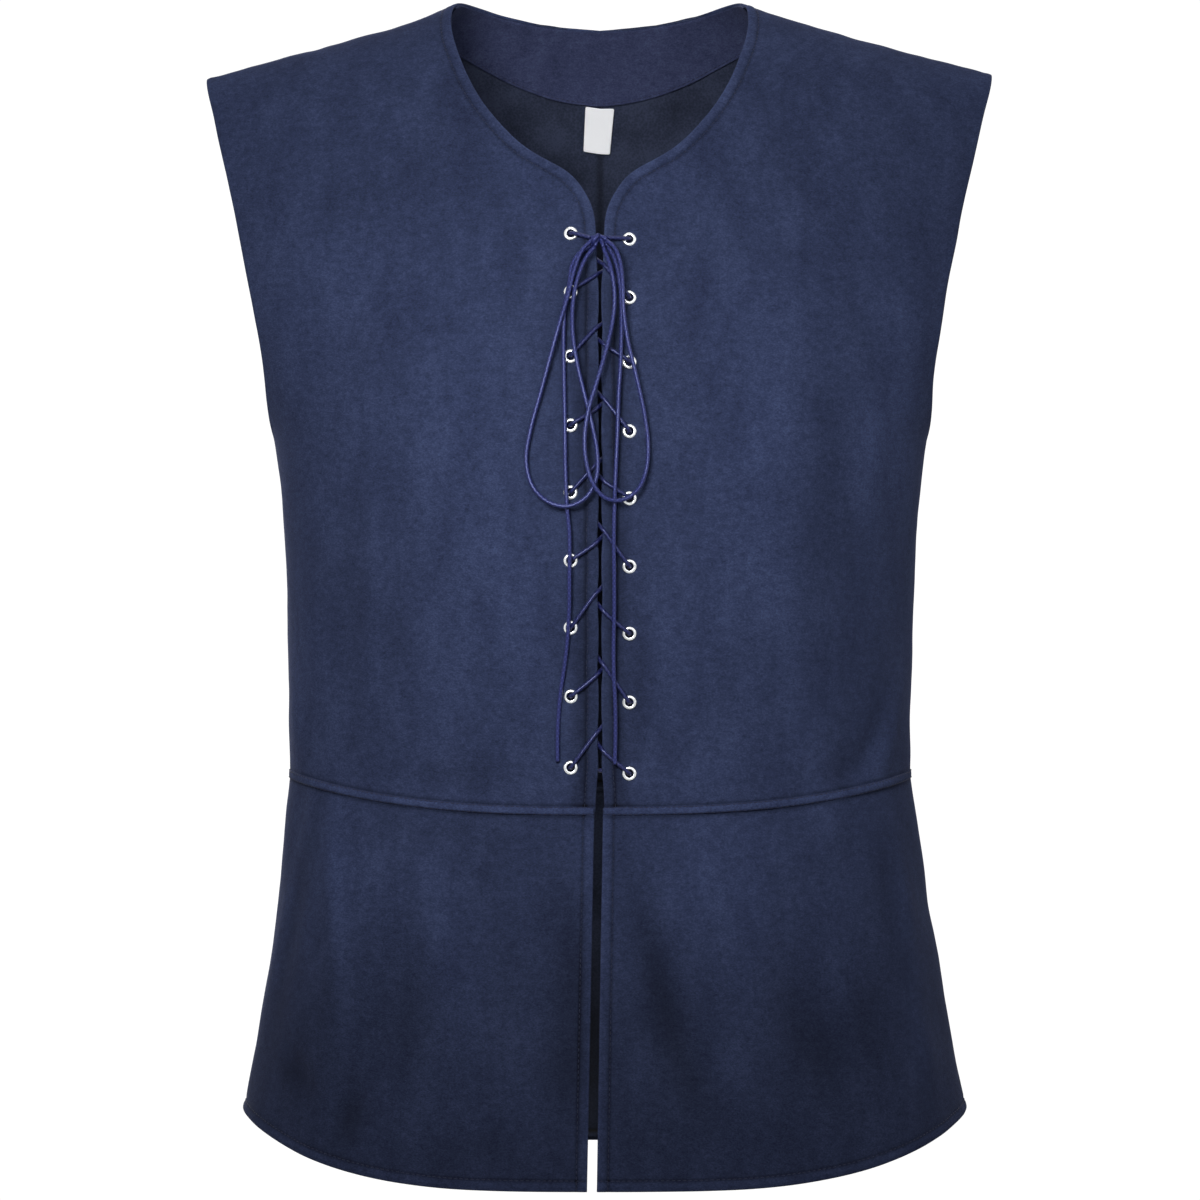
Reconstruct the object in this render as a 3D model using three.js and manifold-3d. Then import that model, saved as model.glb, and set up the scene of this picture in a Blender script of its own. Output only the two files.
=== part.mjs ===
// Sleeveless lace-up vest of suede cloth, filled out as it is worn, with a waist seam and a split skirt.
// Millimetres, +Z up, the front faces -Y. Left and right are the viewer's, looking at the front.
// The origin lies midway between the two neck points, where the wearer's shoulders carry the vest.
import * as THREE from 'three';
import { mergeVertices } from 'three/addons/utils/BufferGeometryUtils.js';
import Module from 'manifold-3d';

// Cloth and seams
const clothThick = 1.6;
const seamGap = 0.3;
const bandHeight = 5.6;
const bandThick = 1.0;
const facingThick = 1.0;
const label = { width: 18, height: 28, thick: 0.6, tilt: 0.08, overlap: 4 };

// Heights below the neck points
const armholeBottom = -268;
const tipHeight = -45.5;
const waistSeam = { side: -476, front: -495, back: -488, curve: 2.7 };
const hem = { side: -684, front: -720, back: -718, curve: 3.7 };

// The slit between the two fronts; below the waist it widens and leans to the left
const slit = { width: 4.6, hemWidth: 5.2, waistLean: -0.8, hemLean: -4.8 };

// Level sections of the filled-out form, from the neck points down to below the hem
const sectionRound = 2.3;
const sections = [
  { z: 0, half: 243, front: 68, back: 80 },
  { z: -45.5, half: 243, front: 73, back: 93 },
  { z: -74, half: 236, front: 78, back: 100 },
  { z: -113, half: 226, front: 86, back: 108 },
  { z: -150, half: 218, front: 95, back: 113 },
  { z: -186, half: 211, front: 104, back: 115 },
  { z: -222, half: 205.5, front: 112, back: 114 },
  { z: -261, half: 203, front: 118, back: 111.5 },
  { z: -276, half: 201, front: 119.5, back: 110 },
  { z: -300, half: 198.2, front: 121, back: 107 },
  { z: -340, half: 195, front: 121, back: 102 },
  { z: -400, half: 193, front: 117, back: 96.5 },
  { z: -456, half: 192, front: 113.5, back: 94 },
  { z: -480, half: 192.2, front: 113.5, back: 95.5 },
  { z: -500, half: 194.6, front: 114.5, back: 98.5 },
  { z: -555, half: 201, front: 119.5, back: 108 },
  { z: -611, half: 210, front: 125.5, back: 117 },
  { z: -666, half: 220, front: 131, back: 124 },
  { z: -725, half: 230, front: 135, back: 129 },
];

// The shoulder line seen from the front; inside the neck it carries on as the slope of the neck
const shoulderLine = [
  { x: 0, z: 20 },
  { x: 45, z: 15 },
  { x: 90, z: 0 },
  { x: 110, z: -8.3 },
  { x: 132, z: -15.5 },
  { x: 165, z: -25 },
  { x: 200, z: -34 },
  { x: 243, z: -45.5 },
];
const neckHalf = 90;
const tipHalf = 243;

// The edge of a front from the armhole level up the slit, round its top corner and up the neck
const frontEdge = [
  [2.2, -268], [2.2, -220], [2.2, -180], [2.2, -150], [2.6, -140], [4.8, -131], [9.3, -122],
  [17, -112], [27.5, -105.5], [38, -100], [49, -92], [67, -72], [77.5, -55], [85.5, -36],
  [90, -21], [91.2, -11], [neckHalf, 0],
];

// The back neckline from the centre to the neck point: across, depth and height
const backNeck = [[0, 62, -8.7], [30, 59.5, -6.2], [58, 51, -1.4], [76, 38.5, 2.9], [86.5, 19, 3.6], [neckHalf, 0, 0]];
const neckShare = 0.4;

// Soft upright folds of the skirt: place across, half width, how far out, and the height where each is fullest
const skirtFolds = [
  { side: 'left', x: -168, wide: 26, out: 5, full: -590 },
  { side: 'left', x: -208, wide: 22, out: -4, full: -690 },
  { side: 'left', x: -90, wide: 34, out: 2.5, full: -680 },
  { side: 'right', x: 96, wide: 34, out: 2.5, full: -690 },
  { side: 'right', x: 172, wide: 26, out: 4.5, full: -610 },
  { side: 'right', x: 206, wide: 20, out: -4, full: -670 },
  { side: 'back', x: -150, wide: 30, out: 5, full: -650 },
  { side: 'back', x: -60, wide: 34, out: 4, full: -700 },
  { side: 'back', x: 45, wide: 30, out: 3.5, full: -690 },
  { side: 'back', x: 140, wide: 32, out: 5, full: -640 },
];
const foldReach = 75;

// Eyelets: nine pairs set by hand about 40 apart, the right row a little lower
const eyeletHeights = [-149, -184.5, -223.5, -265, -305, -345.5, -385.5, -426.5, -469];
const eyelets = { count: eyeletHeights.length, across: 17.5, rightDrop: 3.5 };
const eyelet = { hole: 2.3, barrel: 2.8, flange: 4.3, backFlange: 4.1, high: 0.5, sides: 10 };

// Lace: round cord, threaded from the lowest pair up to the knot
const laceThick = 2.5;
const laceGap = 0.3;
const knot = { x: -0.5, z: -154, out: 5.2, wide: 8.5, high: 6.4, deep: 6 };

// How far up the slit, from its own eyelet, each strand dives to the other side
const crossings = [
  { pair: 9, left: 23, right: 16 },
  { pair: 8, left: 15, right: 25 },
  { pair: 7, left: 23, right: 16 },
  { pair: 6, left: 13, right: 24 },
  { pair: 5, left: 19, right: 13 },
  { pair: 4, left: 12, right: 22 },
  { pair: 3, left: 19, right: 13 },
  { pair: 2, left: 12, right: 22 },
];

// Free lace below the knot: across, height and how far the centre stands off the cloth
const leftEnd = [
  [-5.6, -158.5, 5.2], [-12, -162.5, 5.6], [-16.6, -170, 5.4], [-18.2, -181, 5.3], [-20.6, -192, 5.2],
  [-21.6, -209, 4.2], [-21.4, -234, 3.6], [-20.8, -262, 3.6], [-20.4, -290, 4.4], [-19.4, -314, 5.2],
  [-18, -330, 5], [-18, -356, 5.2], [-18.2, -374, 4.6], [-19.2, -392, 3.4], [-21, -408, 2.4],
  [-23.4, -424, 2], [-24.8, -440, 1.8], [-25.2, -452, 1.8], [-25.2, -465.5, 1.8],
];
const rightEnd = [
  [4.6, -158.6, 5.2], [8.6, -166, 5.5], [11.4, -178, 5.4], [12.6, -192, 5.2], [12.8, -208, 4.8],
  [12.2, -228, 4.9], [11, -248, 4.9], [10.4, -268, 5], [9.4, -290, 5], [8.6, -310, 5.2],
  [8.2, -334, 5.2], [8.4, -356, 5], [8.4, -376, 5], [8, -396, 4.9], [8.2, -414, 5],
  [9, -430, 5], [9.2, -448, 4.9], [8.8, -467, 4.9],
];
const leftLoop = [
  [-4.8, -155.4, 8.2], [-10.6, -162, 8.8], [-15, -173, 8.6], [-19.2, -190, 8.4], [-24, -206, 8],
  [-29, -224, 6.6], [-35, -246, 5], [-41, -268, 4], [-43.6, -286, 3.8], [-40, -301, 4.6],
  [-31, -310.5, 7], [-19, -313.5, 8.2], [-8, -308, 8.2], [-2.2, -297, 8], [-1.6, -283, 8],
  [-4.6, -266, 8], [-9.4, -247, 8], [-13.4, -230, 8.2], [-16, -213, 8.2], [-16.2, -195, 8.2],
  [-13, -178, 8.6], [-7.8, -165.5, 8.6], [-3, -159.6, 8],
];
const rightLoop = [
  [3.8, -155.8, 8.4], [8.6, -161, 10.6], [12, -170, 11], [13.4, -184, 10.8], [14, -199, 9.6],
  [16.4, -216, 8.4], [21.4, -237, 7.4], [26, -258, 6], [28.4, -277, 5.2], [27, -293, 5.4],
  [21.4, -304.5, 8], [12, -310, 8.8], [3, -308.5, 10.4], [-4, -300.5, 11], [-8, -288, 11],
  [-9, -273, 10.8], [-6.6, -257, 10.8], [-1.6, -240, 10.4], [3.6, -222, 9.6], [7.6, -204, 9.4],
  [8.6, -188, 10.4], [6, -172, 11], [2, -160.4, 8.6],
];

// Colours
const suedeBlue = 0x2f3858;
const suedeInside = 0x1b1f2b;
const laceBlue = 0x2b2f6e;
const nickel = 0xd8dad6;
const labelWhite = 0xe8e8ea;

const wasm = await Module();
wasm.setup();

const lerp = THREE.MathUtils.lerp;
const clamp01 = (value) => THREE.MathUtils.clamp(value, 0, 1);
const smooth = (value) => clamp01(value) ** 2 * (3 - 2 * clamp01(value));

// A smooth curve through a table's column, with the slope at each row taken from its neighbours
function smoothAt(rows, across, column, place) {
  const falling = rows[0][across] > rows[1][across];
  const passed = rows.findIndex((row) => (falling ? row[across] <= place : row[across] >= place));
  const upper = passed < 0 ? rows.length - 1 : Math.max(passed, 1);
  const slope = (i) => {
    const a = rows[Math.max(i - 1, 0)];
    const b = rows[Math.min(i + 1, rows.length - 1)];
    return (b[column] - a[column]) / (b[across] - a[across]);
  };
  const from = rows[upper - 1];
  const to = rows[upper];
  const step = to[across] - from[across];
  const t = clamp01((place - from[across]) / step);
  const hump = t * (1 - t) * step;
  return lerp(from[column], to[column], smooth(t)) + hump * (slope(upper - 1) * (1 - t) - slope(upper) * t);
}

const halfAt = (z) => smoothAt(sections, 'z', 'half', Math.min(z, tipHeight));
const seamHeight = (seam, x, z, middle) => middle + (seam.side - middle) * clamp01(Math.abs(x) / halfAt(z)) ** seam.curve;

// The armhole's edge stands forward of the side, or behind it, by this share of the depth
function edgeTurn(z, most) {
  const up = clamp01((z - armholeBottom) / 108);
  return most * Math.sqrt(1 - (1 - up) ** 2);
}

// Depth of a level section at a place across it
function bow(x, z, depth, most) {
  const turn = edgeTurn(z, most) ** sectionRound;
  const reach = halfAt(z) / (1 - turn) ** (1 / sectionRound);
  const left = Math.max(0, 1 - (Math.abs(x) / reach) ** sectionRound);
  return smoothAt(sections, 'z', depth, z) * left ** (1 / sectionRound);
}

// The front as a depth over the front view: it rolls forward from the shoulder line
function frontDepth(x, z) {
  const out = smooth((Math.abs(x) - 50) / 150);
  const drop = clamp01((smoothAt(shoulderLine, 'x', 'z', Math.abs(x)) - z) / lerp(150, 115, out));
  const roll = (1 - (1 - drop) ** 2) ** (1 / lerp(1.6, 1.9, out));
  return -Math.max(bow(x, z, 'front', 0.5) * roll, seamGap / 2);
}

// A point on the outer face of the front, moved out along the cloth's normal
function onFront(x, z, out = 0) {
  const step = 0.5;
  const alongX = (frontDepth(x + step, z) - frontDepth(x - step, z)) / (2 * step);
  const alongZ = (frontDepth(x, z + step) - frontDepth(x, z - step)) / (2 * step);
  const normal = new THREE.Vector3(alongX, -1, alongZ).normalize();
  return new THREE.Vector3(x, frontDepth(x, z), z).addScaledVector(normal, out);
}

// The top edge of the back: the neckline, then the shoulder line
const neckCurve = new THREE.CatmullRomCurve3(backNeck.map((p) => new THREE.Vector3(...p)), false, 'centripetal');
function backTop(across) {
  if (across < neckShare) return neckCurve.getPoint(across / neckShare);
  const x = lerp(neckHalf, tipHalf, (across - neckShare) / (1 - neckShare));
  return new THREE.Vector3(x, 0, smoothAt(shoulderLine, 'x', 'z', x));
}

// Bodice back, one half: across from the centre to the side, up from the waist to the top edge
const armholeShare = 0.42;
const frontColumns = 12;
const backColumns = 10;
const backRows = bodiceRows(5, 11);
function backPoint(across, up) {
  const w = Math.sin(across * Math.PI / 2);
  if (up < armholeShare) {
    const t = up / armholeShare;
    const level = lerp(waistSeam.side, armholeBottom, t);
    const x = halfAt(level) * w;
    const z = lerp(seamHeight(waistSeam, x, level, waistSeam.back) + seamGap / 2, armholeBottom, t);
    return new THREE.Vector3(x, Math.max(bow(x, level, 'back', 0.42), seamGap / 2), z);
  }
  const rise = smooth((up - armholeShare) / (1 - armholeShare));
  const top = backTop(across);
  const z = lerp(armholeBottom, top.z, rise);
  const level = lerp(armholeBottom, tipHeight, rise);
  const drop = clamp01((top.z - z) / 130);
  const roll = (1 - (1 - drop) ** 2) ** (1 / lerp(1.15, 1.9, smooth(across * 2)));
  const x = lerp(top.x, halfAt(level) * lerp(w, across, 0.6 * smooth(rise * 2)), roll);
  const y = lerp(top.y, bow(x, Math.min(z, level + 20), 'back', 0.42), roll);
  return new THREE.Vector3(x, Math.max(y, seamGap / 2), z);
}

// Bodice front, one half: its inner edge follows the slit and the neck, its outer edge the side and the armhole
const edgeCurve = new THREE.CatmullRomCurve3(frontEdge.map(([x, z]) => new THREE.Vector3(x, 0, z)), false, 'centripetal');
function frontPoint(across, up) {
  if (up < armholeShare) {
    const t = up / armholeShare;
    const level = lerp(waistSeam.side, armholeBottom, t);
    const x = lerp(slit.width / 2, halfAt(level), Math.sin(across * Math.PI / 2));
    const z = lerp(seamHeight(waistSeam, x, level, waistSeam.front) + seamGap / 2, armholeBottom, t);
    return new THREE.Vector3(x, -Math.max(frontFace(x, z, level, across), seamGap / 2), z);
  }
  const rise = smooth((up - armholeShare) / (1 - armholeShare));
  const inner = edgeCurve.getPointAt(rise);
  const outerZ = lerp(armholeBottom, tipHeight, rise);
  const spread = lerp(Math.sin(across * Math.PI / 2), across, smooth(rise * 1.5));
  const x = lerp(inner.x, halfAt(outerZ), spread);
  const along = (x - inner.x) / (halfAt(outerZ) - inner.x);
  const straight = lerp(inner.z, outerZ, along);
  const chord = lerp(0, tipHeight, (x - neckHalf) / (tipHalf - neckHalf));
  const z = straight + (smoothAt(shoulderLine, 'x', 'z', x) - chord) * rise ** 4;
  const y = across === 1 ? Math.min(-bow(x, outerZ, 'front', 0.5) * rollAtEdge(x, outerZ), -seamGap / 2) : frontDepth(x, z);
  return new THREE.Vector3(x, y, z);
}

function rollAtEdge(x, z) {
  const drop = clamp01((smoothAt(shoulderLine, 'x', 'z', x) - z) / 115);
  return (1 - (1 - drop) ** 2) ** (1 / 1.9);
}

// Depth of the front at and below the waist; beside the side seam it follows the level section
function frontFace(x, z, level, across) {
  return bow(x, lerp(z, level, smooth(across * 4 - 3)), 'front', 0);
}

// How far the skirt's folds move a point out
function foldOut(side, x, z) {
  return skirtFolds
    .filter((fold) => fold.side === side)
    .map((fold) => fold.out * Math.exp(-(((x - fold.x) / fold.wide) ** 2) - ((z - fold.full) / foldReach) ** 2))
    .reduce((sum, out) => sum + out, 0);
}

// Skirt: signed place across from -1 at the left side to 1 at the right, down from the waist to the hem
function skirtFront(sign) {
  return (across, down) => {
    const lean = lerp(slit.waistLean, slit.hemLean, down);
    const inner = lean + sign * lerp(slit.width, slit.hemWidth, down) / 2;
    const level = lerp(waistSeam.side, hem.side, down);
    const x = lerp(inner, sign * halfAt(level), Math.sin(across * Math.PI / 2));
    const top = seamHeight(waistSeam, x, level, waistSeam.front) - seamGap / 2;
    const z = lerp(top, seamHeight(hem, x, level, hem.front), down);
    const settled = foldOut(sign < 0 ? 'left' : 'right', x, z) * smooth((1 - across) * 8) * smooth(down * 3);
    return new THREE.Vector3(x, -Math.max(frontFace(x, z, level, across) + settled, seamGap / 2), z);
  };
}

function skirtBack(across, down) {
  const turn = (across - 0.5) * Math.PI;
  const level = lerp(waistSeam.side, hem.side, down);
  const x = halfAt(level) * Math.sin(turn);
  const top = seamHeight(waistSeam, x, level, waistSeam.back) - seamGap / 2;
  const z = lerp(top, seamHeight(hem, x, level, hem.back), down);
  const settled = foldOut('back', x, z) * smooth(Math.cos(turn) * 3) * smooth(down * 3);
  return new THREE.Vector3(x, Math.max(bow(x, level, 'back', 0) + settled, seamGap / 2), z);
}

// The cloth's normal at a point of a piece, pointing away from the wearer
function normalAt(point, u, v) {
  const step = 2e-3;
  const u0 = Math.max(u - step, 0);
  const u1 = Math.min(u + step, 1);
  const v0 = Math.max(v - step, 0);
  const v1 = Math.min(v + step, 1);
  const alongU = point(u1, v).sub(point(u0, v));
  const alongV = point(u, v1).sub(point(u, v0));
  const normal = alongU.cross(alongV).normalize();
  const here = point(u, v);
  const away = new THREE.Vector3(here.x, here.y * 2, here.z > -60 ? 120 : 0);
  return normal.dot(away) < 0 ? normal.negate() : normal;
}

function spread(count) {
  return Array.from({ length: count + 1 }, (_, i) => i / count);
}

// A closed wall over a grid of places: its outer face stands off the surface and its thickness goes inwards.
// On a whole piece the two halves have mirrored faces, as two mirrored pieces have
function wall(point, us, vs, thick, out = 0, whole = false) {
  const positions = [];
  for (const depth of [out, out - thick]) {
    for (const v of vs) {
      for (const u of us) {
        const here = point(u, v).addScaledVector(normalAt(point, u, v), depth);
        positions.push(here.x, here.y, here.z);
      }
    }
  }
  const across = us.length;
  const layer = across * vs.length;
  const index = [];
  const quad = (a, b, c, d) => index.push(a, b, c, a, c, d);
  for (let j = 0; j < vs.length - 1; j += 1) {
    for (let i = 0; i < across - 1; i += 1) {
      const corners = [j * across + i, j * across + i + 1, (j + 1) * across + i + 1, (j + 1) * across + i];
      if (whole && i < (across - 1) / 2) corners.push(corners.shift());
      const [a, b, c, d] = corners;
      quad(a, b, c, d);
      quad(layer + a, layer + d, layer + c, layer + b);
    }
  }
  const rim = [];
  for (let i = 0; i < across - 1; i += 1) rim.push([i, i + 1]);
  for (let j = 0; j < vs.length - 1; j += 1) rim.push([(j + 1) * across - 1, (j + 2) * across - 1]);
  for (let i = across - 1; i > 0; i -= 1) rim.push([layer - across + i, layer - across + i - 1]);
  for (let j = vs.length - 1; j > 0; j -= 1) rim.push([j * across, (j - 1) * across]);
  for (const [a, b] of rim) quad(b, a, layer + a, layer + b);
  const geometry = new THREE.BufferGeometry();
  geometry.setAttribute('position', new THREE.Float32BufferAttribute(positions, 3));
  geometry.setIndex(index);
  return facingOut(geometry);
}

// Turns the faces round where a mirrored piece came out inside out
function facingOut(geometry) {
  const index = geometry.getIndex().array;
  const place = geometry.getAttribute('position');
  const corner = [new THREE.Vector3(), new THREE.Vector3(), new THREE.Vector3()];
  let volume = 0;
  for (let i = 0; i < index.length; i += 3) {
    corner.forEach((point, k) => point.fromBufferAttribute(place, index[i + k]));
    volume += corner[0].dot(corner[1].cross(corner[2])) / 6;
  }
  if (volume < 0) geometry.setIndex([...index].reverse());
  return geometry;
}

function mirrored(point) {
  return (u, v) => point(u, v).multiply(new THREE.Vector3(-1, 1, 1));
}

function toSolid(geometry) {
  const bare = geometry.clone();
  bare.deleteAttribute('normal');
  bare.deleteAttribute('uv');
  const merged = mergeVertices(bare, 1e-4);
  const mesh = new wasm.Mesh({
    numProp: 3,
    vertProperties: new Float32Array(merged.getAttribute('position').array),
    triVerts: new Uint32Array(merged.getIndex().array),
  });
  return new wasm.Manifold(mesh);
}

function fromSolid(solid) {
  const mesh = solid.getMesh();
  const geometry = new THREE.BufferGeometry();
  geometry.setAttribute('position', new THREE.Float32BufferAttribute(mesh.vertProperties, 3));
  geometry.setIndex(new THREE.Uint32BufferAttribute(mesh.triVerts, 1));
  return geometry;
}

function eyeletPlace(sign, pair) {
  const drop = sign > 0 ? eyelets.rightDrop : 0;
  return { x: sign * eyelets.across, z: eyeletHeights[pair - 1] - drop };
}

// Turns a shape whose axis is +Y so that the axis lies along the cloth's normal at an eyelet
function seatAt(geometry, place) {
  const base = onFront(place.x, place.z);
  const normal = onFront(place.x, place.z, 1).sub(base);
  const turn = new THREE.Quaternion().setFromUnitVectors(new THREE.Vector3(0, 1, 0), normal);
  return geometry.applyQuaternion(turn).translate(base.x, base.y, base.z);
}

function eyeletHole(place) {
  const apothem = eyelet.barrel + seamGap;
  const radius = apothem / Math.cos(Math.PI / eyelet.sides);
  return seatAt(new THREE.CylinderGeometry(radius, radius, clothThick * 6, eyelet.sides), place);
}

function eyeletRing(place) {
  const under = -clothThick - seamGap;
  const profile = [
    [eyelet.hole, under - eyelet.high], [eyelet.backFlange, under - eyelet.high], [eyelet.backFlange, under],
    [eyelet.barrel, under], [eyelet.barrel, seamGap], [eyelet.flange, seamGap],
    [eyelet.flange - 0.3, seamGap + eyelet.high], [eyelet.hole + 0.3, seamGap + eyelet.high],
    [eyelet.hole, under - eyelet.high],
  ];
  const points = profile.map(([radius, height]) => new THREE.Vector2(radius, height));
  return seatAt(new THREE.LatheGeometry(points, eyelet.sides), place);
}

// Rows of a bodice piece: the first ones up to the armhole, the rest up to its top edge
function bodiceRows(below, above) {
  return [...spread(below).map((t) => t * armholeShare), ...spread(above).slice(1).map((t) => lerp(armholeShare, 1, t))];
}

function bodiceFront(sign) {
  const point = sign < 0 ? mirrored(frontPoint) : frontPoint;
  let solid = toSolid(wall(point, spread(frontColumns), bodiceRows(9, 12), clothThick));
  for (let pair = 1; pair <= eyelets.count; pair += 1) {
    solid = solid.subtract(toSolid(eyeletHole(eyeletPlace(sign, pair))));
  }
  return fromSolid(solid);
}

function bodiceBack(sign) {
  const half = (u, v) => backPoint(u, v).add(new THREE.Vector3(u === 0 ? seamGap / 2 : 0, 0, 0));
  const point = sign < 0 ? mirrored(half) : half;
  return wall(point, spread(backColumns), backRows, clothThick);
}

// The raised band lies over the waist seam, moved out from the cloth
function waistBand(point, count, whole) {
  return wall(point, spread(count), [0, 1], bandThick, seamGap + bandThick, whole);
}

function bandFront(sign) {
  const lean = slit.waistLean;
  return (across, up) => {
    const inner = lean + sign * slit.width / 2;
    const level = waistSeam.side + (up - 0.5) * bandHeight;
    const x = lerp(inner, sign * halfAt(level), Math.sin(across * Math.PI / 2));
    const z = seamHeight(waistSeam, x, level, waistSeam.front) + (up - 0.5) * bandHeight;
    return new THREE.Vector3(x, -Math.max(frontFace(x, z, level, across), seamGap / 2), z);
  };
}

function bandBack(across, up) {
  const level = waistSeam.side + (up - 0.5) * bandHeight;
  const x = halfAt(level) * Math.sin((across - 0.5) * Math.PI);
  const z = seamHeight(waistSeam, x, level, waistSeam.back) + (up - 0.5) * bandHeight;
  return new THREE.Vector3(x, Math.max(bow(x, level, 'back', 0), seamGap / 2), z);
}

// The facing lies under the back neck, on the same columns and on the uppermost rows of the two backs
const facingRows = 3;
function wholeBack(across, up) {
  const here = backPoint(Math.abs(across), up);
  return across < 0 ? here.multiply(new THREE.Vector3(-1, 1, 1)) : here;
}

function neckFacing() {
  const shares = spread(backColumns).filter((share) => share <= neckShare + 1e-6);
  const columns = [...shares.slice(1).reverse().map((share) => -share), ...shares];
  const rows = backRows.slice(-facingRows - 1);
  const point = (u, v) => wholeBack(u - 0.5, v);
  return wall(point, columns.map((share) => share + 0.5), rows, facingThick, -clothThick - seamGap, true);
}

// The label hangs from the facing's lower edge
function careLabel() {
  const rows = backRows.slice(-facingRows - 2, -facingRows);
  const heights = rows.map((up) => backPoint(0, up).z);
  const perMm = (rows[1] - rows[0]) / (heights[1] - heights[0]);
  const acrossPerMm = 0.1 / backPoint(0.1, rows[1]).x;
  const point = (u, v) => {
    const x = (u - 0.5) * label.width - label.tilt * label.height * v;
    const below = v * label.height - label.overlap + label.tilt * label.width * (u - 0.5);
    return wholeBack(x * acrossPerMm, rows[1] - below * perMm);
  };
  return wall(point, spread(2), spread(3), label.thick, -clothThick - seamGap * 2 - facingThick);
}

// A path whose rings lie evenly between its points, so that tight bends have as many as long runs
class LacePath extends THREE.CatmullRomCurve3 {
  getUtoTmapping(share) {
    return share;
  }
}

function laceTube(points, ringsPerSpan, sides) {
  const corners = Array.from({ length: sides }, (_, i) => {
    const angle = (i / sides) * Math.PI * 2;
    return new THREE.Vector2(Math.cos(angle) * laceThick / 2, Math.sin(angle) * laceThick / 2);
  });
  const path = new LacePath(points, false, 'centripetal');
  const steps = (points.length - 1) * ringsPerSpan;
  return new THREE.ExtrudeGeometry(new THREE.Shape(corners), { extrudePath: path, steps, bevelEnabled: false });
}

function freeLace(rows) {
  return laceTube(rows.map(([x, z, out]) => onFront(x, z, out)), 1, 8);
}

// Where the threaded lace turns round through an eyelet: towards gives the direction of each leg over the cloth
const turnRadius = 3.1;
const turnMiddle = -0.75;
function eyeletTurn(place, towardsBack, towardsFront) {
  const at = (direction, along, out) => onFront(place.x + direction.x * along, place.z + direction.y * along, out);
  const middle = towardsBack.clone().add(towardsFront).normalize();
  const lean = Math.SQRT1_2 * turnRadius;
  const start = turnRadius - 0.55;
  return [
    at(towardsBack, start, turnMiddle - turnRadius),
    at(towardsBack, start - lean, turnMiddle - lean),
    at(middle, -0.55, turnMiddle),
    at(towardsFront, start - lean, turnMiddle + lean),
    at(towardsFront, start, turnMiddle + turnRadius),
  ];
}

// Where a strand dives through the slit, from in front of one front to behind the other
const diveSteps = [
  { along: -4.4, out: 1.85 },
  { along: -2.3, out: 1.3 },
  { along: 0, out: -0.8 },
  { along: 2.3, out: -2.9 },
  { along: 4.4, out: -3.45 },
];
function slitDive(z, heading) {
  return diveSteps.map(({ along, out }) => onFront(heading.x * along, z + heading.y * along, out));
}

// The threaded lace as one run: down one side's strand from the knot to the lowest pair, and up the other's
function strandUp(firstSign) {
  const points = [];
  let sign = firstSign;
  let cameFrom = new THREE.Vector2(-sign, 0);
  for (const crossing of crossings) {
    const here = eyeletPlace(sign, crossing.pair);
    const next = eyeletPlace(-sign, crossing.pair - 1);
    const diveZ = here.z + (sign < 0 ? crossing.left : crossing.right);
    const upTo = new THREE.Vector2(-here.x, diveZ - here.z).normalize();
    const onTo = new THREE.Vector2(next.x, next.z - diveZ).normalize();
    const through = upTo.clone().add(onTo).normalize();
    points.push(...eyeletTurn(here, cameFrom, upTo), ...slitDive(diveZ, through));
    cameFrom = onTo.clone().negate();
    sign = -sign;
  }
  const top = eyeletPlace(sign, 1);
  const toKnot = new THREE.Vector2(knot.x - top.x, knot.z + 1 - top.z).normalize();
  points.push(...eyeletTurn(top, cameFrom, toKnot));
  const reach = knot.wide / 2 + laceGap + 0.4;
  points.push(onFront(knot.x + sign * (reach + 3.5), knot.z + 1 + (sign < 0 ? 1.3 : 0.3), 3.6));
  points.push(onFront(knot.x + sign * reach, knot.z + 1, knot.out - 0.7));
  return points;
}

function threadedLace() {
  return laceTube([...strandUp(-1).reverse(), ...strandUp(1)], 1, 6);
}

function bowKnot() {
  const halfWide = knot.wide / 2;
  const profile = [[0, -halfWide], [0.62, -halfWide * 0.92], [1, -halfWide * 0.35], [1, halfWide * 0.35],
    [0.62, halfWide * 0.92], [0, halfWide]];
  const points = profile.map(([share, along]) => new THREE.Vector2(share * knot.high / 2, along));
  const geometry = new THREE.LatheGeometry(points, 10).rotateZ(-Math.PI / 2).scale(1, knot.deep / knot.high, 1);
  const base = onFront(knot.x, knot.z, knot.out);
  return geometry.translate(base.x, base.y, base.z);
}

const finishes = {
  suede: new THREE.MeshStandardMaterial({ color: suedeBlue, roughness: 0.95, metalness: 0 }),
  inside: new THREE.MeshStandardMaterial({ color: suedeInside, roughness: 0.95, metalness: 0 }),
  lace: new THREE.MeshStandardMaterial({ color: laceBlue, roughness: 0.6, metalness: 0 }),
  nickel: new THREE.MeshStandardMaterial({ color: nickel, roughness: 0.2, metalness: 1 }),
  label: new THREE.MeshStandardMaterial({ color: labelWhite, roughness: 0.8, metalness: 0 }),
};

const vest = new THREE.Group();
function add(name, geometry, finish) {
  const mesh = new THREE.Mesh(geometry, finishes[finish].clone());
  mesh.name = name;
  vest.add(mesh);
}

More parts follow.
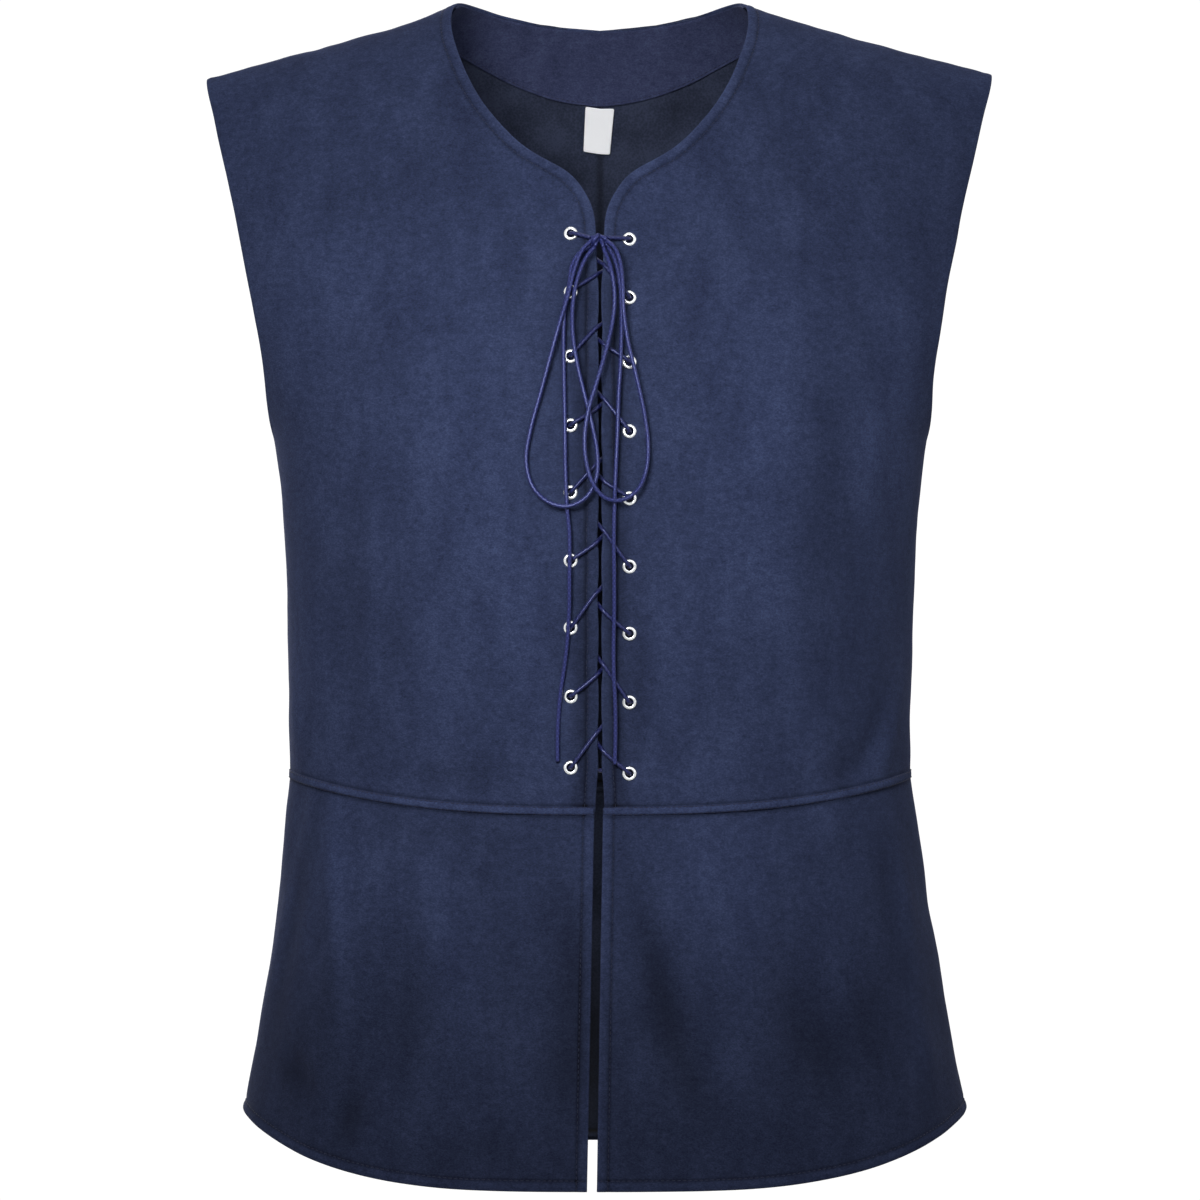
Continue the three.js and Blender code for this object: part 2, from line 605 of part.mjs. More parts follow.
for (const [side, sign] of [['left', -1], ['right', 1]]) {
  add(`bodice_front_${side}`, bodiceFront(sign), 'suede');
  add(`bodice_back_${side}`, bodiceBack(sign), 'suede');
  add(`skirt_front_${side}`, wall(skirtFront(sign), spread(frontColumns), spread(7), clothThick), 'suede');
  add(`waist_band_${side}`, waistBand(bandFront(sign), frontColumns, false), 'suede');
  for (let pair = 1; pair <= eyelets.count; pair += 1) {
    add(`eyelet_${side}_${pair}`, eyeletRing(eyeletPlace(sign, pair)), 'nickel');
  }
}
add('skirt_back', wall(skirtBack, spread(2 * backColumns), spread(7), clothThick, 0, true), 'suede');
add('waist_band_back', waistBand(bandBack, 2 * backColumns, true), 'suede');
add('neck_facing', neckFacing(), 'suede');
add('care_label', careLabel(), 'label');
add('lace_threaded', threadedLace(), 'lace');
add('lace_knot', bowKnot(), 'lace');
add('lace_loop_left', freeLace(leftLoop), 'lace');
add('lace_loop_right', freeLace(rightLoop), 'lace');
add('lace_end_left', freeLace(leftEnd), 'lace');
add('lace_end_right', freeLace(rightEnd), 'lace');

export default vest;
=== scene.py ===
import math

import bmesh
import bpy
import numpy as np
from mathutils import Matrix, Vector, noise


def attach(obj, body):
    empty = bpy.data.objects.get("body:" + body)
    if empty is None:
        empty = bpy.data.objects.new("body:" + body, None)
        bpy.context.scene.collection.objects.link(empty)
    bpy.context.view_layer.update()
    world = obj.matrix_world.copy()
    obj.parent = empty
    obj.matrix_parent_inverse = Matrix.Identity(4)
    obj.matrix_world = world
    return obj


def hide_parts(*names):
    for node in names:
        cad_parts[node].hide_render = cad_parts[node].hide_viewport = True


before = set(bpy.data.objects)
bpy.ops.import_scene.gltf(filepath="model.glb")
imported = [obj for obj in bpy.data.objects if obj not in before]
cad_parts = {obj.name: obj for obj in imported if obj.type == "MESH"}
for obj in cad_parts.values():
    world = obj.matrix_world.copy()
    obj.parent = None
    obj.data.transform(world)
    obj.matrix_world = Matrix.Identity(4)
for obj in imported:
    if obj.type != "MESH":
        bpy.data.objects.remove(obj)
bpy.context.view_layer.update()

# Sleeveless lace-up vest of suede cloth, filled out as it is worn.
# Sizes are in millimetres and become metres where a mesh is made. Left and right are the viewer's.
MM = 0.001

# Cloth and seams
CLOTH_THICK = 1.6
SEAM_LAP = 0.8
LEAST_DEPTH = 0.15
BAND_HEIGHT = 5.6
BAND_OUT = 1.5
BAND_SUNK = 0.5
FACING_THICK = 1.0
STITCH_IN = 6.8

# How far the cloth stands out at its edges and seams, and is pressed or drawn in
RELIEF = {
    "edge_ridge": 0.8, "stitch_dent": 0.8, "edge_rolled": 0.35, "plain_edge": 0.3, "seam_dent": 0.7,
    "waist_pull": 0.4, "eyelet_dent": 0.4, "eyelet_swell": 0.35,
}
# Unevenness of handled and sewn cloth: how broad it is, and how far it stands out
UNEVEN = {
    "broad": (30, 0.8), "fine": (12, 0.2), "facing": (14, 0.5),
    "stitches": (7, 0.5), "seam": (9, 0.6), "band": (6, 0.5),
}
# Creases die out this near to a seam, and to an armhole or the waist
CREASE_FADE = {"seam": 8, "edge": 12}

# Heights below the neck points
ARMHOLE_BOTTOM = -268
ARMHOLE_TURN = 108
ARMHOLE_TURNED = {"front": 0.5, "back": 0.42}
TIP_HEIGHT = -45.5
WAIST = {"side": -476, "front": -495, "back": -488, "curve": 2.7}
HEM = {"side": -684, "front": -720, "back": -718, "curve": 3.7}
SLIT = {"width": 4.6, "hem_width": 5.2, "waist_lean": -0.8, "hem_lean": -4.8}

# Level sections: height, half width, front depth, back depth
HALF, FRONT, BACK = 1, 2, 3
SECTION_ROUND = 2.3
# How the cloth rolls down from the shoulder line, inside and further out: over what drop, and how roundly
FRONT_ROLL = {"from": 50, "over": 150, "drops": (150, 115), "rounds": (1.6, 1.9)}
BACK_ROLL = {"drop": 130, "rounds": (1.15, 1.9)}
SECTIONS = np.array([
    (0, 243, 68, 80),
    (-45.5, 243, 73, 93),
    (-74, 236, 78, 100),
    (-113, 226, 86, 108),
    (-150, 218, 95, 113),
    (-186, 211, 104, 115),
    (-222, 205.5, 112, 114),
    (-261, 203, 118, 111.5),
    (-276, 201, 119.5, 110),
    (-300, 198.2, 121, 107),
    (-340, 195, 121, 102),
    (-400, 193, 117, 96.5),
    (-456, 192, 113.5, 94),
    (-480, 192.2, 113.5, 95.5),
    (-500, 194.6, 114.5, 98.5),
    (-555, 201, 119.5, 108),
    (-611, 210, 125.5, 117),
    (-666, 220, 131, 124),
    (-725, 230, 135, 129),
])

# The shoulder line seen from the front: across, height
SHOULDER = np.array([
    (0, 20), (45, 15), (90, 0), (110, -8.3), (132, -15.5), (165, -25), (200, -34), (243, -45.5),
])
NECK_HALF = 90
TIP_HALF = 243

# A front's edge from the armhole level up the slit, round its top corner and up the neck: across, height
FRONT_EDGE = [
    (2.2, -268), (2.2, -220), (2.2, -180), (2.2, -150), (2.6, -140), (4.8, -131), (9.3, -122),
    (17, -112), (27.5, -105.5), (38, -100), (49, -92), (67, -72), (77.5, -55), (85.5, -36),
    (90, -21), (91.2, -11), (NECK_HALF, 0),
]

# The back neckline from the centre to the neck point: across, depth, height
BACK_NECK = [
    (0, 62, -8.7), (30, 59.5, -6.2), (58, 51, -1.4), (76, 38.5, 2.9), (86.5, 19, 3.6), (NECK_HALF, 0, 0),
]
NECK_SHARE = 0.4
ARMHOLE_SHARE = 0.42

# How the vest hangs a little unevenly: height, and how far the left and right sides are shifted across
HANG = np.array([
    (0, -1.2, 0), (-53, -1.2, 0), (-90, -1.9, 0), (-200, -1.9, 0), (-240, -1.2, 0), (-276, 0.5, 0.4),
    (-476, 0, 0.3), (-518, 0.6, 1.9), (-555, 1.9, 1.9), (-592, 3.7, 3.1), (-629, 4.3, 2.6),
    (-667, 3.1, 3.1), (-725, 1.2, 3.9),
])
# The right shoulder stands a little higher: how much, and where that starts across and in height
RIGHT_SHOULDER = {"up": 2.2, "across": 85, "over": 45, "height": -130, "above": 80}

# Large soft folds of the skirt: place across, half width, how far out, height where it is fullest
SKIRT_FOLDS = {
    "left": [(-168, 26, 5, -590), (-208, 22, -4, -690), (-90, 34, 2.5, -680)],
    "right": [(96, 34, 2.5, -690), (172, 26, 4.5, -610), (206, 20, -4, -670)],
    "back": [(-150, 30, 5, -650), (-60, 34, 4, -700), (45, 30, 3.5, -690), (140, 32, 5, -640)],
}
FOLD_REACH = 75

# Creases, listed one by one: across, height, lean from upright in degrees, half length, half width, how far
# out
FRONT_CREASES = [
    (177, -448, 13, 30, 5, 2.7),
    (161, -463, 32, 22, 6, -3.3),
    (-102, -478, 0, 9, 8, -2.1),
    (-74, -481, 0, 7, 6, -1.2),
    (96, -480, 0, 8, 7, -2.0),
    (122, -478, 6, 8, 7, -2.0),
    (146, -473, 15, 10, 7, -2.4),
    (48, -466, -28, 14, 6, -1.8),
    (46, -210, 42, 22, 8, -1.2),
    (-152, -370, 0, 75, 13, -2.7),
    (-126, -390, 3, 60, 9, -1.7),
    (-139, -380, 1, 70, 7, 1.2),
    (-186, -440, -5, 35, 5, 1.5),
    (104, -272, 0, 70, 22, 2.7),
    (150, -330, 2, 90, 16, -2.5),
    (178, -300, 3, 70, 10, -1.5),
    (-150, -225, 24, 60, 14, -1.8),
    (165, -215, -20, 55, 12, -2.0),
    (72, -350, -2, 80, 11, 1.0),
    (-70, -300, 4, 95, 20, 1.4),
    (-120, -110, 35, 45, 14, -1.4),
    (128, -118, -32, 50, 13, -1.5),
    (-96, -440, 8, 34, 9, 1.4),
    (106, -430, -10, 36, 9, -1.4),
]
SKIRT_FRONT_CREASES = [
    (-162, -537, 1, 50, 7, 2.7),
    (-189, -545, 9, 60, 7, -3.4),
    (-197, -570, 15, 85, 5, 2.7),
    (-78, -523, 19, 30, 6, 1.5),
    (-99, -573, 0, 45, 12, 2.7),
    (-120, -621, 6, 40, 18, -3.7),
    (-153, -675, 0, 16, 8, -3.4),
    (-185, -655, -30, 14, 6, -3.4),
    (-147, -667, 90, 12, 3, 1.2),
    (-24, -610, 2, 75, 12, -2.5),
    (-46, -640, 8, 40, 14, 2.0),
    (-60, -680, -6, 24, 9, -2.2),
    (36, -594, -16, 66, 9, -4.1),
    (57, -546, -4, 48, 16, 2.7),
    (92, -570, 2, 66, 12, 2.9),
    (126, -633, -24, 44, 16, -4.0),
    (162, -616, 0, 32, 11, -2.8),
    (183, -555, -6, 34, 6, 2.7),
    (28, -652, -10, 22, 8, 1.9),
    (76, -655, -14, 30, 10, 2.2),
    (194, -640, -10, 34, 7, 2.4),
    (150, -520, 4, 24, 10, -1.7),
]
BACK_CREASES = [
    (-95, -190, 12, 70, 22, -2.9),
    (88, -200, -14, 64, 20, -2.6),
    (-38, -300, 2, 110, 18, 2.1),
    (44, -310, -2, 100, 17, 1.9),
    (-70, -420, 4, 55, 11, -3.0),
    (62, -405, -5, 60, 12, -2.7),
    (-120, -470, 0, 12, 8, -2.4),
    (100, -474, 3, 10, 8, -2.2),
    (-34, -479, 0, 9, 7, -1.9),
    (26, -480, 0, 8, 8, -1.6),
    (-165, -430, -20, 35, 7, -3.0),
    (168, -425, 22, 32, 7, -2.7),
    (-120, -330, -6, 70, 13, 1.9),
    (126, -340, 7, 66, 14, 1.6),
    (-150, -130, 28, 42, 12, -1.8),
    (144, -124, -30, 46, 13, -1.9),
    (12, -160, 62, 30, 10, 1.3),
]
SKIRT_BACK_CREASES = [
    (-176, -560, 6, 60, 8, 2.4),
    (-158, -610, 3, 50, 9, -3.2),
    (-118, -580, -4, 64, 13, 2.6),
    (-92, -650, 2, 46, 12, -3.5),
    (-30, -600, 5, 70, 14, 2.2),
    (-8, -660, -6, 38, 10, -2.9),
    (20, -560, -3, 52, 12, -1.9),
    (76, -610, 4, 66, 13, -3.2),
    (104, -560, 0, 48, 12, 2.4),
    (128, -650, -8, 36, 9, -2.6),
    (172, -600, -5, 56, 8, 2.4),
    (190, -640, -9, 36, 7, -2.7),
]

# Painted light and shade, laid on the cloth as soft marks: across, height, lean, half length, half width,
# share of brightness
FRONT_PAINTED_SHADING = [
    (150, -90, 0, 90, 120, -0.13),
    (-120, -90, 0, 90, 120, -0.08),
    (-110, -330, 0, 190, 90, 0.05),
    (110, -330, 0, 190, 100, 0.08),
    (192, -330, 0, 150, 26, 0.2),
    (-192, -340, 0, 150, 24, 0.15),
    (-36, -410, 0, 50, 14, 0.12),
    (23, -416, 0, 60, 5, -0.2),
    (-26, -428, 0, 36, 4.5, -0.15),
    (-72, -330, 0, 120, 40, 0.06),
    (95, -340, 0, 110, 30, 0.08),
    (-139, -170, 0, 34, 34, 0.07),
    (-155, -127, 60, 22, 14, -0.09),
    (-164, -349, 0, 26, 20, -0.1),
    (-131, -405, 2, 60, 12, -0.08),
    (-119, -261, 0, 50, 9, -0.05),
    (131, -232, 0, 30, 16, -0.06),
    (127, -351, 2, 62, 12, -0.11),
    (165, -411, -4, 60, 18, -0.12),
    (72, -426, 3, 34, 8, -0.08),
    (105, -160, 90, 48, 5, -0.08),
    (186, -130, 0, 50, 16, -0.07),
    (62, -200, 0, 30, 16, 0.08),
    (46, -400, 0, 50, 16, 0.1),
    (-46, -360, 0, 60, 18, 0.12),
    (174, -266, 0, 48, 22, 0.26),
    (-186, -225, 0, 44, 14, 0.1),
    (-155, -250, 0, 30, 14, 0.09),
    (-80, -472, 90, 30, 10, -0.2),
    (60, -474, 90, 40, 9, 0.08),
    (146, -452, 14, 22, 8, -0.14),
    (166, -456, 20, 24, 6, 0.14),
    (-34, -120, -50, 30, 12, 0.07),
    (34, -120, 50, 30, 12, 0.07),
]
SKIRT_FRONT_PAINTED_SHADING = [
    (-12, -596, 0, 62, 12, -0.2),
    (-30, -660, 20, 30, 22, -0.16),
    (34, -594, -14, 56, 9, -0.12),
    (70, -668, -38, 26, 11, -0.08),
    (64, -538, 0, 40, 30, 0.12),
    (150, -640, -8, 50, 26, -0.05),
    (-44, -670, 0, 24, 30, 0.2),
    (190, -640, 0, 40, 12, 0.12),
    (112, -520, 0, 38, 12, -0.06),
    (-182, -572, 13, 90, 6, 0.14),
    (-176, -520, 8, 36, 6, -0.18),
    (-168, -604, 6, 40, 7, -0.14),
    (-159, -560, 0, 60, 5, 0.14),
    (-198, -566, 14, 70, 4, 0.16),
    (-120, -660, 0, 34, 30, 0.1),
    (-104, -508, 84, 60, 12, -0.16),
    (-80, -530, 0, 26, 14, -0.12),
    (174, -540, 0, 54, 18, -0.28),
    (46, -520, 0, 50, 16, -0.1),
    (-30, -530, 0, 40, 12, -0.1),
    (30, -640, -12, 50, 26, -0.14),
    (-60, -580, 0, 60, 16, -0.1),
    (-80, -600, 0, 60, 20, 0.13),
    (-193, -656, -35, 14, 6, -0.24),
    (-154, -684, 20, 16, 8, -0.2),
    (-72, -692, 80, 30, 10, -0.1),
    (-124, -496, 0, 10, 10, -0.12),
    (-62, -520, 0, 26, 22, -0.1),
    (-143, -520, 0, 26, 18, 0.07),
    (20, -648, -10, 22, 9, 0.12),
    (184, -560, -8, 50, 7, 0.1),
]
BACK_PAINTED_SHADING = [
    (-60, -260, 0, 110, 40, 0.07),
    (64, -280, 0, 110, 36, 0.07),
    (-20, -200, 4, 80, 16, -0.06),
    (-120, -330, -4, 70, 16, -0.09),
    (130, -350, 4, 70, 16, -0.09),
    (-165, -420, -14, 44, 12, -0.12),
    (168, -420, 14, 44, 12, -0.12),
    (110, -150, 40, 40, 14, -0.07),
]
SKIRT_BACK_PAINTED_SHADING = [
    (-158, -600, 3, 60, 9, -0.06),
    (-118, -570, -3, 66, 14, 0.12),
    (-92, -650, 2, 48, 12, -0.04),
    (-30, -590, 5, 70, 15, 0.12),
    (-6, -655, -6, 44, 11, -0.04),
    (76, -610, 4, 66, 13, -0.05),
    (106, -560, 0, 50, 12, 0.12),
    (130, -650, -8, 40, 10, -0.05),
    (182, -590, -6, 60, 9, 0.1),
]
# Painted light and shade: the same share for each millimetre that a crease stands out, lighter on ridges and
# darker in troughs, and beside the seams and edges, as painted shade in seams and under the waist seam and
# painted highlights on edges and the seam's crown
CREASE_PAINTED_SHADE = 0.045
SEAM_PAINTED_SHADE = -0.22
CENTRE_SEAM_TIMES = 1.7
ARMHOLE_PAINTED_HIGHLIGHT = 0.3
UNDER_BAND_TONE = -0.45
BAND_PAINTED_SHADING = {"edges": -0.3, "crown": 0.3}
EDGE_PAINTED_LIGHT = {"folded": 0.36, "ridge": 0.18, "stitched": -0.38}
# Shade down towards the hem, and along the lacing: the share, and where it starts and is full
HEM_SHADE = {"tone": -0.34, "from": -505, "over": 150}
LACED_SHADE = {"tone": -0.4, "top": -150, "over": 40, "beside": 10, "fade": 12}

# Eyelets: nine pairs about 40 apart, their heights listed one by one, the right row a little lower
EYELET_HEIGHTS = [-149, -184.5, -223.5, -265, -305, -345.5, -385.5, -426.5, -469]
EYELETS = {"count": len(EYELET_HEIGHTS), "across": 17.5, "right_drop": 3.5}
EYELET_HOLE = 2.1
EYELET_FLANGE = 4.45
EYELET_CUT = 2.75

# Lace: round braided cord
LACE = 2.5
LACE_STEP = 0.85
LACE_AROUND = 14
PLAIT_PROUD = 0.035
PLAIT_PITCH = 2.2
CUT_END = {"narrowed": 0.72, "rounded": 0.3}
KNOT = {"x": -0.5, "z": -154, "out": 5.2, "reach": 4.95}

# How far up the slit, from its own eyelet, each strand dives to the other side: pair, left, right
CROSSINGS = [
    (9, 23, 16), (8, 15, 25), (7, 23, 16), (6, 13, 24), (5, 19, 13), (4, 12, 22), (3, 19, 13), (2, 12, 22),
]

# Free lace below the knot: across, height and how far the centre stands off the cloth
LEFT_END = [
    (-5.6, -158.5, 5.2), (-12, -162.5, 5.6), (-16.6, -170, 5.4), (-18.2, -181, 5.3), (-20.6, -192, 5.2),
    (-21.6, -209, 4.2), (-21.4, -234, 3.6), (-20.8, -262, 3.6), (-20.4, -290, 4.4), (-19.4, -314, 5.2),
    (-18, -330, 5), (-18, -356, 5.2), (-18.2, -374, 4.6), (-19.2, -392, 3.4), (-21, -408, 2.4),
    (-23.4, -424, 2), (-24.8, -440, 1.8), (-25.2, -452, 1.8), (-25.2, -465.5, 1.8),
]
RIGHT_END = [
    (4.6, -158.6, 5.2), (8.6, -166, 5.5), (11.4, -178, 5.4), (12.6, -192, 5.2), (12.8, -208, 4.8),
    (12.2, -228, 4.9), (11, -248, 4.9), (10.4, -268, 5), (9.4, -290, 5), (8.6, -310, 5.2),
    (8.2, -334, 5.2), (8.4, -356, 5), (8.4, -376, 5), (8, -396, 4.9), (8.2, -414, 5),
    (9, -430, 5), (9.2, -448, 4.9), (8.8, -467, 4.9),
]
LEFT_LOOP = [
    (-4.8, -155.4, 8.2), (-10.6, -162, 8.8), (-15, -173, 8.6), (-19.2, -190, 8.4), (-24, -206, 8),
    (-29, -224, 6.6), (-35, -246, 5), (-41, -268, 4), (-43.6, -286, 3.8), (-40, -301, 4.6),
    (-31, -310.5, 7), (-19, -313.5, 8.2), (-8, -308, 8.2), (-2.2, -297, 8), (-1.6, -283, 8),
    (-4.6, -266, 8), (-9.4, -247, 8), (-13.4, -230, 8.2), (-16, -213, 8.2), (-16.2, -195, 8.2),
    (-13, -178, 8.6), (-7.8, -165.5, 8.6), (-3, -159.6, 8),
]
RIGHT_LOOP = [
    (3.8, -155.8, 8.4), (8.6, -161, 10.6), (12, -170, 11), (13.4, -184, 10.8), (14, -199, 9.6),
    (16.4, -216, 8.4), (21.4, -237, 7.4), (26, -258, 6), (28.4, -277, 5.2), (27, -293, 5.4),
    (21.4, -304.5, 8), (12, -310, 8.8), (3, -308.5, 10.4), (-4, -300.5, 11), (-8, -288, 11),
    (-9, -273, 10.8), (-6.6, -257, 10.8), (-1.6, -240, 10.4), (3.6, -222, 9.6), (7.6, -204, 9.4),
    (8.6, -188, 10.4), (6, -172, 11), (2, -160.4, 8.6),
]


def lerp(a, b, t):
    return a + (b - a) * t


def smooth(value):
    t = np.clip(value, 0, 1)
    return t * t * (3 - 2 * t)


def hump(distance, width):
    return np.exp(-((distance / width) ** 2))


def unit(vector):
    return vector / np.linalg.norm(vector, axis=-1, keepdims=True)


def smooth_at(table, column, place):
    """A smooth curve through a table's column, with the slope at each row taken from its neighbours."""
    rows = table[np.argsort(table[:, 0])]
    across, values = rows[:, 0], rows[:, column]
    before = np.maximum(np.arange(len(rows)) - 1, 0)
    after = np.minimum(np.arange(len(rows)) + 1, len(rows) - 1)
    slope = (values[after] - values[before]) / (across[after] - across[before])
    upper = np.clip(np.searchsorted(across, place), 1, len(rows) - 1)
    lower = upper - 1
    step = across[upper] - across[lower]
    t = np.clip((place - across[lower]) / step, 0, 1)
    swell = t * (1 - t) * step * (slope[lower] * (1 - t) - slope[upper] * t)
    return lerp(values[lower], values[upper], smooth(t)) + swell


def curve_points(points, shares):
    """Points along a smooth curve through the given ones; shares from 0 to 1 run evenly over its spans."""
    p = np.asarray(points, float)
    ends = np.vstack([2 * p[0] - p[1], p, 2 * p[-1] - p[-2]])
    place = np.clip(shares, 0, 1) * (len(p) - 1)
    i = np.minimum(place.astype(int), len(p) - 2)
    t = (place - i)[..., None]
    a, b, c, d = ends[i], ends[i + 1], ends[i + 2], ends[i + 3]
    spans = (b - a, c - b, d - c)
    before, here, after = (np.linalg.norm(span, axis=-1, keepdims=True) ** 0.5 for span in spans)
    leaving = here * ((b - a) / before - (c - a) / (before + here) + (c - b) / here)
    coming = here * ((c - b) / here - (d - b) / (here + after) + (d - c) / after)
    squared = 3 * (c - b) - 2 * leaving - coming
    cubed = 2 * (b - c) + leaving + coming
    return b + leaving * t + squared * t**2 + cubed * t**3


def run_lengths(line):
    """Length run up to each point of a line, or of each row of lines."""
    steps = np.linalg.norm(np.diff(line, axis=-2), axis=-1)
    return np.concatenate([np.zeros(steps.shape[:-1] + (1,)), np.cumsum(steps, axis=-1)], axis=-1)


def at_run(values, run, places):
    """Values given along a run, read off at other places along it."""
    return np.stack([np.interp(places, run, values[:, k]) for k in range(values.shape[1])], axis=-1)


def at_lengths(line, lengths):
    return at_run(line, run_lengths(line), lengths)


# The filled-out form
def half_at(z):
    return smooth_at(SECTIONS, HALF, np.minimum(z, TIP_HEIGHT))


def seam_height(seam, x, z, middle):
    return middle + (seam["side"] - middle) * np.clip(np.abs(x) / half_at(z), 0, 1) ** seam["curve"]


def bow(x, z, side, most):
    """Depth of a level section at a place across it; most says how far the armhole's edge is turned."""
    up = np.clip((z - ARMHOLE_BOTTOM) / ARMHOLE_TURN, 0, 1)
    turn = (most * np.sqrt(1 - (1 - up) ** 2)) ** SECTION_ROUND
    reach = half_at(z) / (1 - turn) ** (1 / SECTION_ROUND)
    left = np.maximum(0, 1 - (np.abs(x) / reach) ** SECTION_ROUND)
    return smooth_at(SECTIONS, side, z) * left ** (1 / SECTION_ROUND)


def front_depth(x, z):
    """The front as a depth over the front view: it rolls forward from the shoulder line."""
    out = smooth((np.abs(x) - FRONT_ROLL["from"]) / FRONT_ROLL["over"])
    drop = np.clip((smooth_at(SHOULDER, 1, np.abs(x)) - z) / lerp(*FRONT_ROLL["drops"], out), 0, 1)
    roll = (1 - (1 - drop) ** 2) ** (1 / lerp(*FRONT_ROLL["rounds"], out))
    return -np.maximum(bow(x, z, FRONT, ARMHOLE_TURNED["front"]) * roll, LEAST_DEPTH)


def front_normal(x, z):
    step = 0.5
    along_x = (front_depth(x + step, z) - front_depth(x - step, z)) / (2 * step)
    along_z = (front_depth(x, z + step) - front_depth(x, z - step)) / (2 * step)
    return unit(np.stack([along_x, -np.ones_like(along_x), along_z], axis=-1))


def on_front(x, z, out=0.0):
    """A point on the outer face of the front, moved out along the cloth's normal."""
    x, z, out = (np.asarray(value, float) for value in np.broadcast_arrays(x, z, out))
    return np.stack([x, front_depth(x, z), z], axis=-1) + front_normal(x, z) * out[..., None]


NECK_SHARES = np.linspace(0, 1, 401)
NECK_LINE = curve_points(BACK_NECK, NECK_SHARES)
EDGE_LINE = curve_points([(x, 0, z) for x, z in FRONT_EDGE], np.linspace(0, 1, 2001))


def back_top(across):
    """The top edge of the back: the neckline, then the shoulder line."""
    neck = at_run(NECK_LINE, NECK_SHARES, across / NECK_SHARE)
    x = lerp(NECK_HALF, TIP_HALF, (across - NECK_SHARE) / (1 - NECK_SHARE))
    shoulder = np.stack([x, np.zeros_like(x), smooth_at(SHOULDER, 1, x)], -1)
    return np.where((across < NECK_SHARE)[..., None], neck, shoulder)


def front_place(x, depth, z):
    """A place on the front, kept just clear of the plane that parts front and back."""
    return np.stack([x, -np.maximum(depth, LEAST_DEPTH), z], -1)


def back_place(x, depth, z):
    return np.stack([x, np.maximum(depth, LEAST_DEPTH), z], -1)


def back_point(across, up):
    """Bodice back, one half: across from the centre to the side, up from the waist to the top edge."""
    w = np.sin(across * np.pi / 2)
    t = up / ARMHOLE_SHARE
    level = lerp(WAIST["side"], ARMHOLE_BOTTOM, t)
    x = half_at(level) * w
    z = lerp(seam_height(WAIST, x, level, WAIST["back"]), ARMHOLE_BOTTOM, t)
    below = back_place(x, bow(x, level, BACK, ARMHOLE_TURNED["back"]), z)
    rise = smooth((up - ARMHOLE_SHARE) / (1 - ARMHOLE_SHARE))
    top = back_top(across)
    z = lerp(ARMHOLE_BOTTOM, top[..., 2], rise)
    level = lerp(ARMHOLE_BOTTOM, TIP_HEIGHT, rise)
    drop = np.clip((top[..., 2] - z) / BACK_ROLL["drop"], 0, 1)
    roll = (1 - (1 - drop) ** 2) ** (1 / lerp(*BACK_ROLL["rounds"], smooth(across * 2)))
    x = lerp(top[..., 0], half_at(level) * lerp(w, across, 0.6 * smooth(rise * 2)), roll)
    depth = lerp(top[..., 1], bow(x, np.minimum(z, level + 20), BACK, ARMHOLE_TURNED["back"]), roll)
    return np.where((up < ARMHOLE_SHARE)[..., None], below, back_place(x, depth, z))


def whole_back(across, up):
    points = back_point(np.abs(across), up)
    points[..., 0] *= np.where(across < 0, -1, 1)
    return points


def front_face(x, z, level, across):
    return bow(x, lerp(z, level, smooth(across * 4 - 3)), FRONT, 0)


def front_point(across, up):
    """Bodice front, one half: its inner edge follows slit and neck, its outer edge side and armhole."""
    w = np.sin(across * np.pi / 2)
    t = up / ARMHOLE_SHARE
    level = lerp(WAIST["side"], ARMHOLE_BOTTOM, t)
    x = lerp(SLIT["width"] / 2, half_at(level), w)
    z = lerp(seam_height(WAIST, x, level, WAIST["front"]), ARMHOLE_BOTTOM, t)
    below = front_place(x, front_face(x, z, level, across), z)
    rise = smooth((up - ARMHOLE_SHARE) / (1 - ARMHOLE_SHARE))
    inner = at_lengths(EDGE_LINE, rise * run_lengths(EDGE_LINE)[-1])
    outer_z = lerp(ARMHOLE_BOTTOM, TIP_HEIGHT, rise)
    x = lerp(inner[..., 0], half_at(outer_z), lerp(w, across, smooth(rise * 1.5)))
    along = (x - inner[..., 0]) / (half_at(outer_z) - inner[..., 0])
    straight = lerp(inner[..., 2], outer_z, along)
    chord = lerp(0, TIP_HEIGHT, (x - NECK_HALF) / (TIP_HALF - NECK_HALF))
    z = straight + (smooth_at(SHOULDER, 1, x) - chord) * rise**4
    above = np.stack([x, front_depth(x, z), z], -1)
    return np.where((up < ARMHOLE_SHARE)[..., None], below, above)


def fold_out(side, x, z):
    return sum(
        out * hump(x - place, wide) * hump(z - full, FOLD_REACH)
        for place, wide, out, full in SKIRT_FOLDS[side]
    )


def skirt_height(x, level, face, down):
    """Height on the skirt, between its curved waist seam and its curved hem."""
    return lerp(seam_height(WAIST, x, level, WAIST[face]), seam_height(HEM, x, level, HEM[face]), down)


def skirt_front(sign):
    """Half of the skirt's front: across from the slit to the side, down from the waist to the hem."""
    side = "left" if sign < 0 else "right"

    def point(across, down):
        lean = lerp(SLIT["waist_lean"], SLIT["hem_lean"], down)
        inner = lean + sign * lerp(SLIT["width"], SLIT["hem_width"], down) / 2
        level = lerp(WAIST["side"], HEM["side"], down)
        x = lerp(inner, sign * half_at(level), np.sin(across * np.pi / 2))
        z = skirt_height(x, level, "front", down)
        settled = fold_out(side, x, z) * smooth((1 - across) * 8) * smooth(down * 3)
        return front_place(x, front_face(x, z, level, across) + settled, z)
    return point


def skirt_back(across, down):
    turn = (across - 0.5) * np.pi
    level = lerp(WAIST["side"], HEM["side"], down)
    x = half_at(level) * np.sin(turn)
    z = skirt_height(x, level, "back", down)
    settled = fold_out("back", x, z) * smooth(np.cos(turn) * 3) * smooth(down * 3)
    return back_place(x, bow(x, level, BACK, 0) + settled, z)


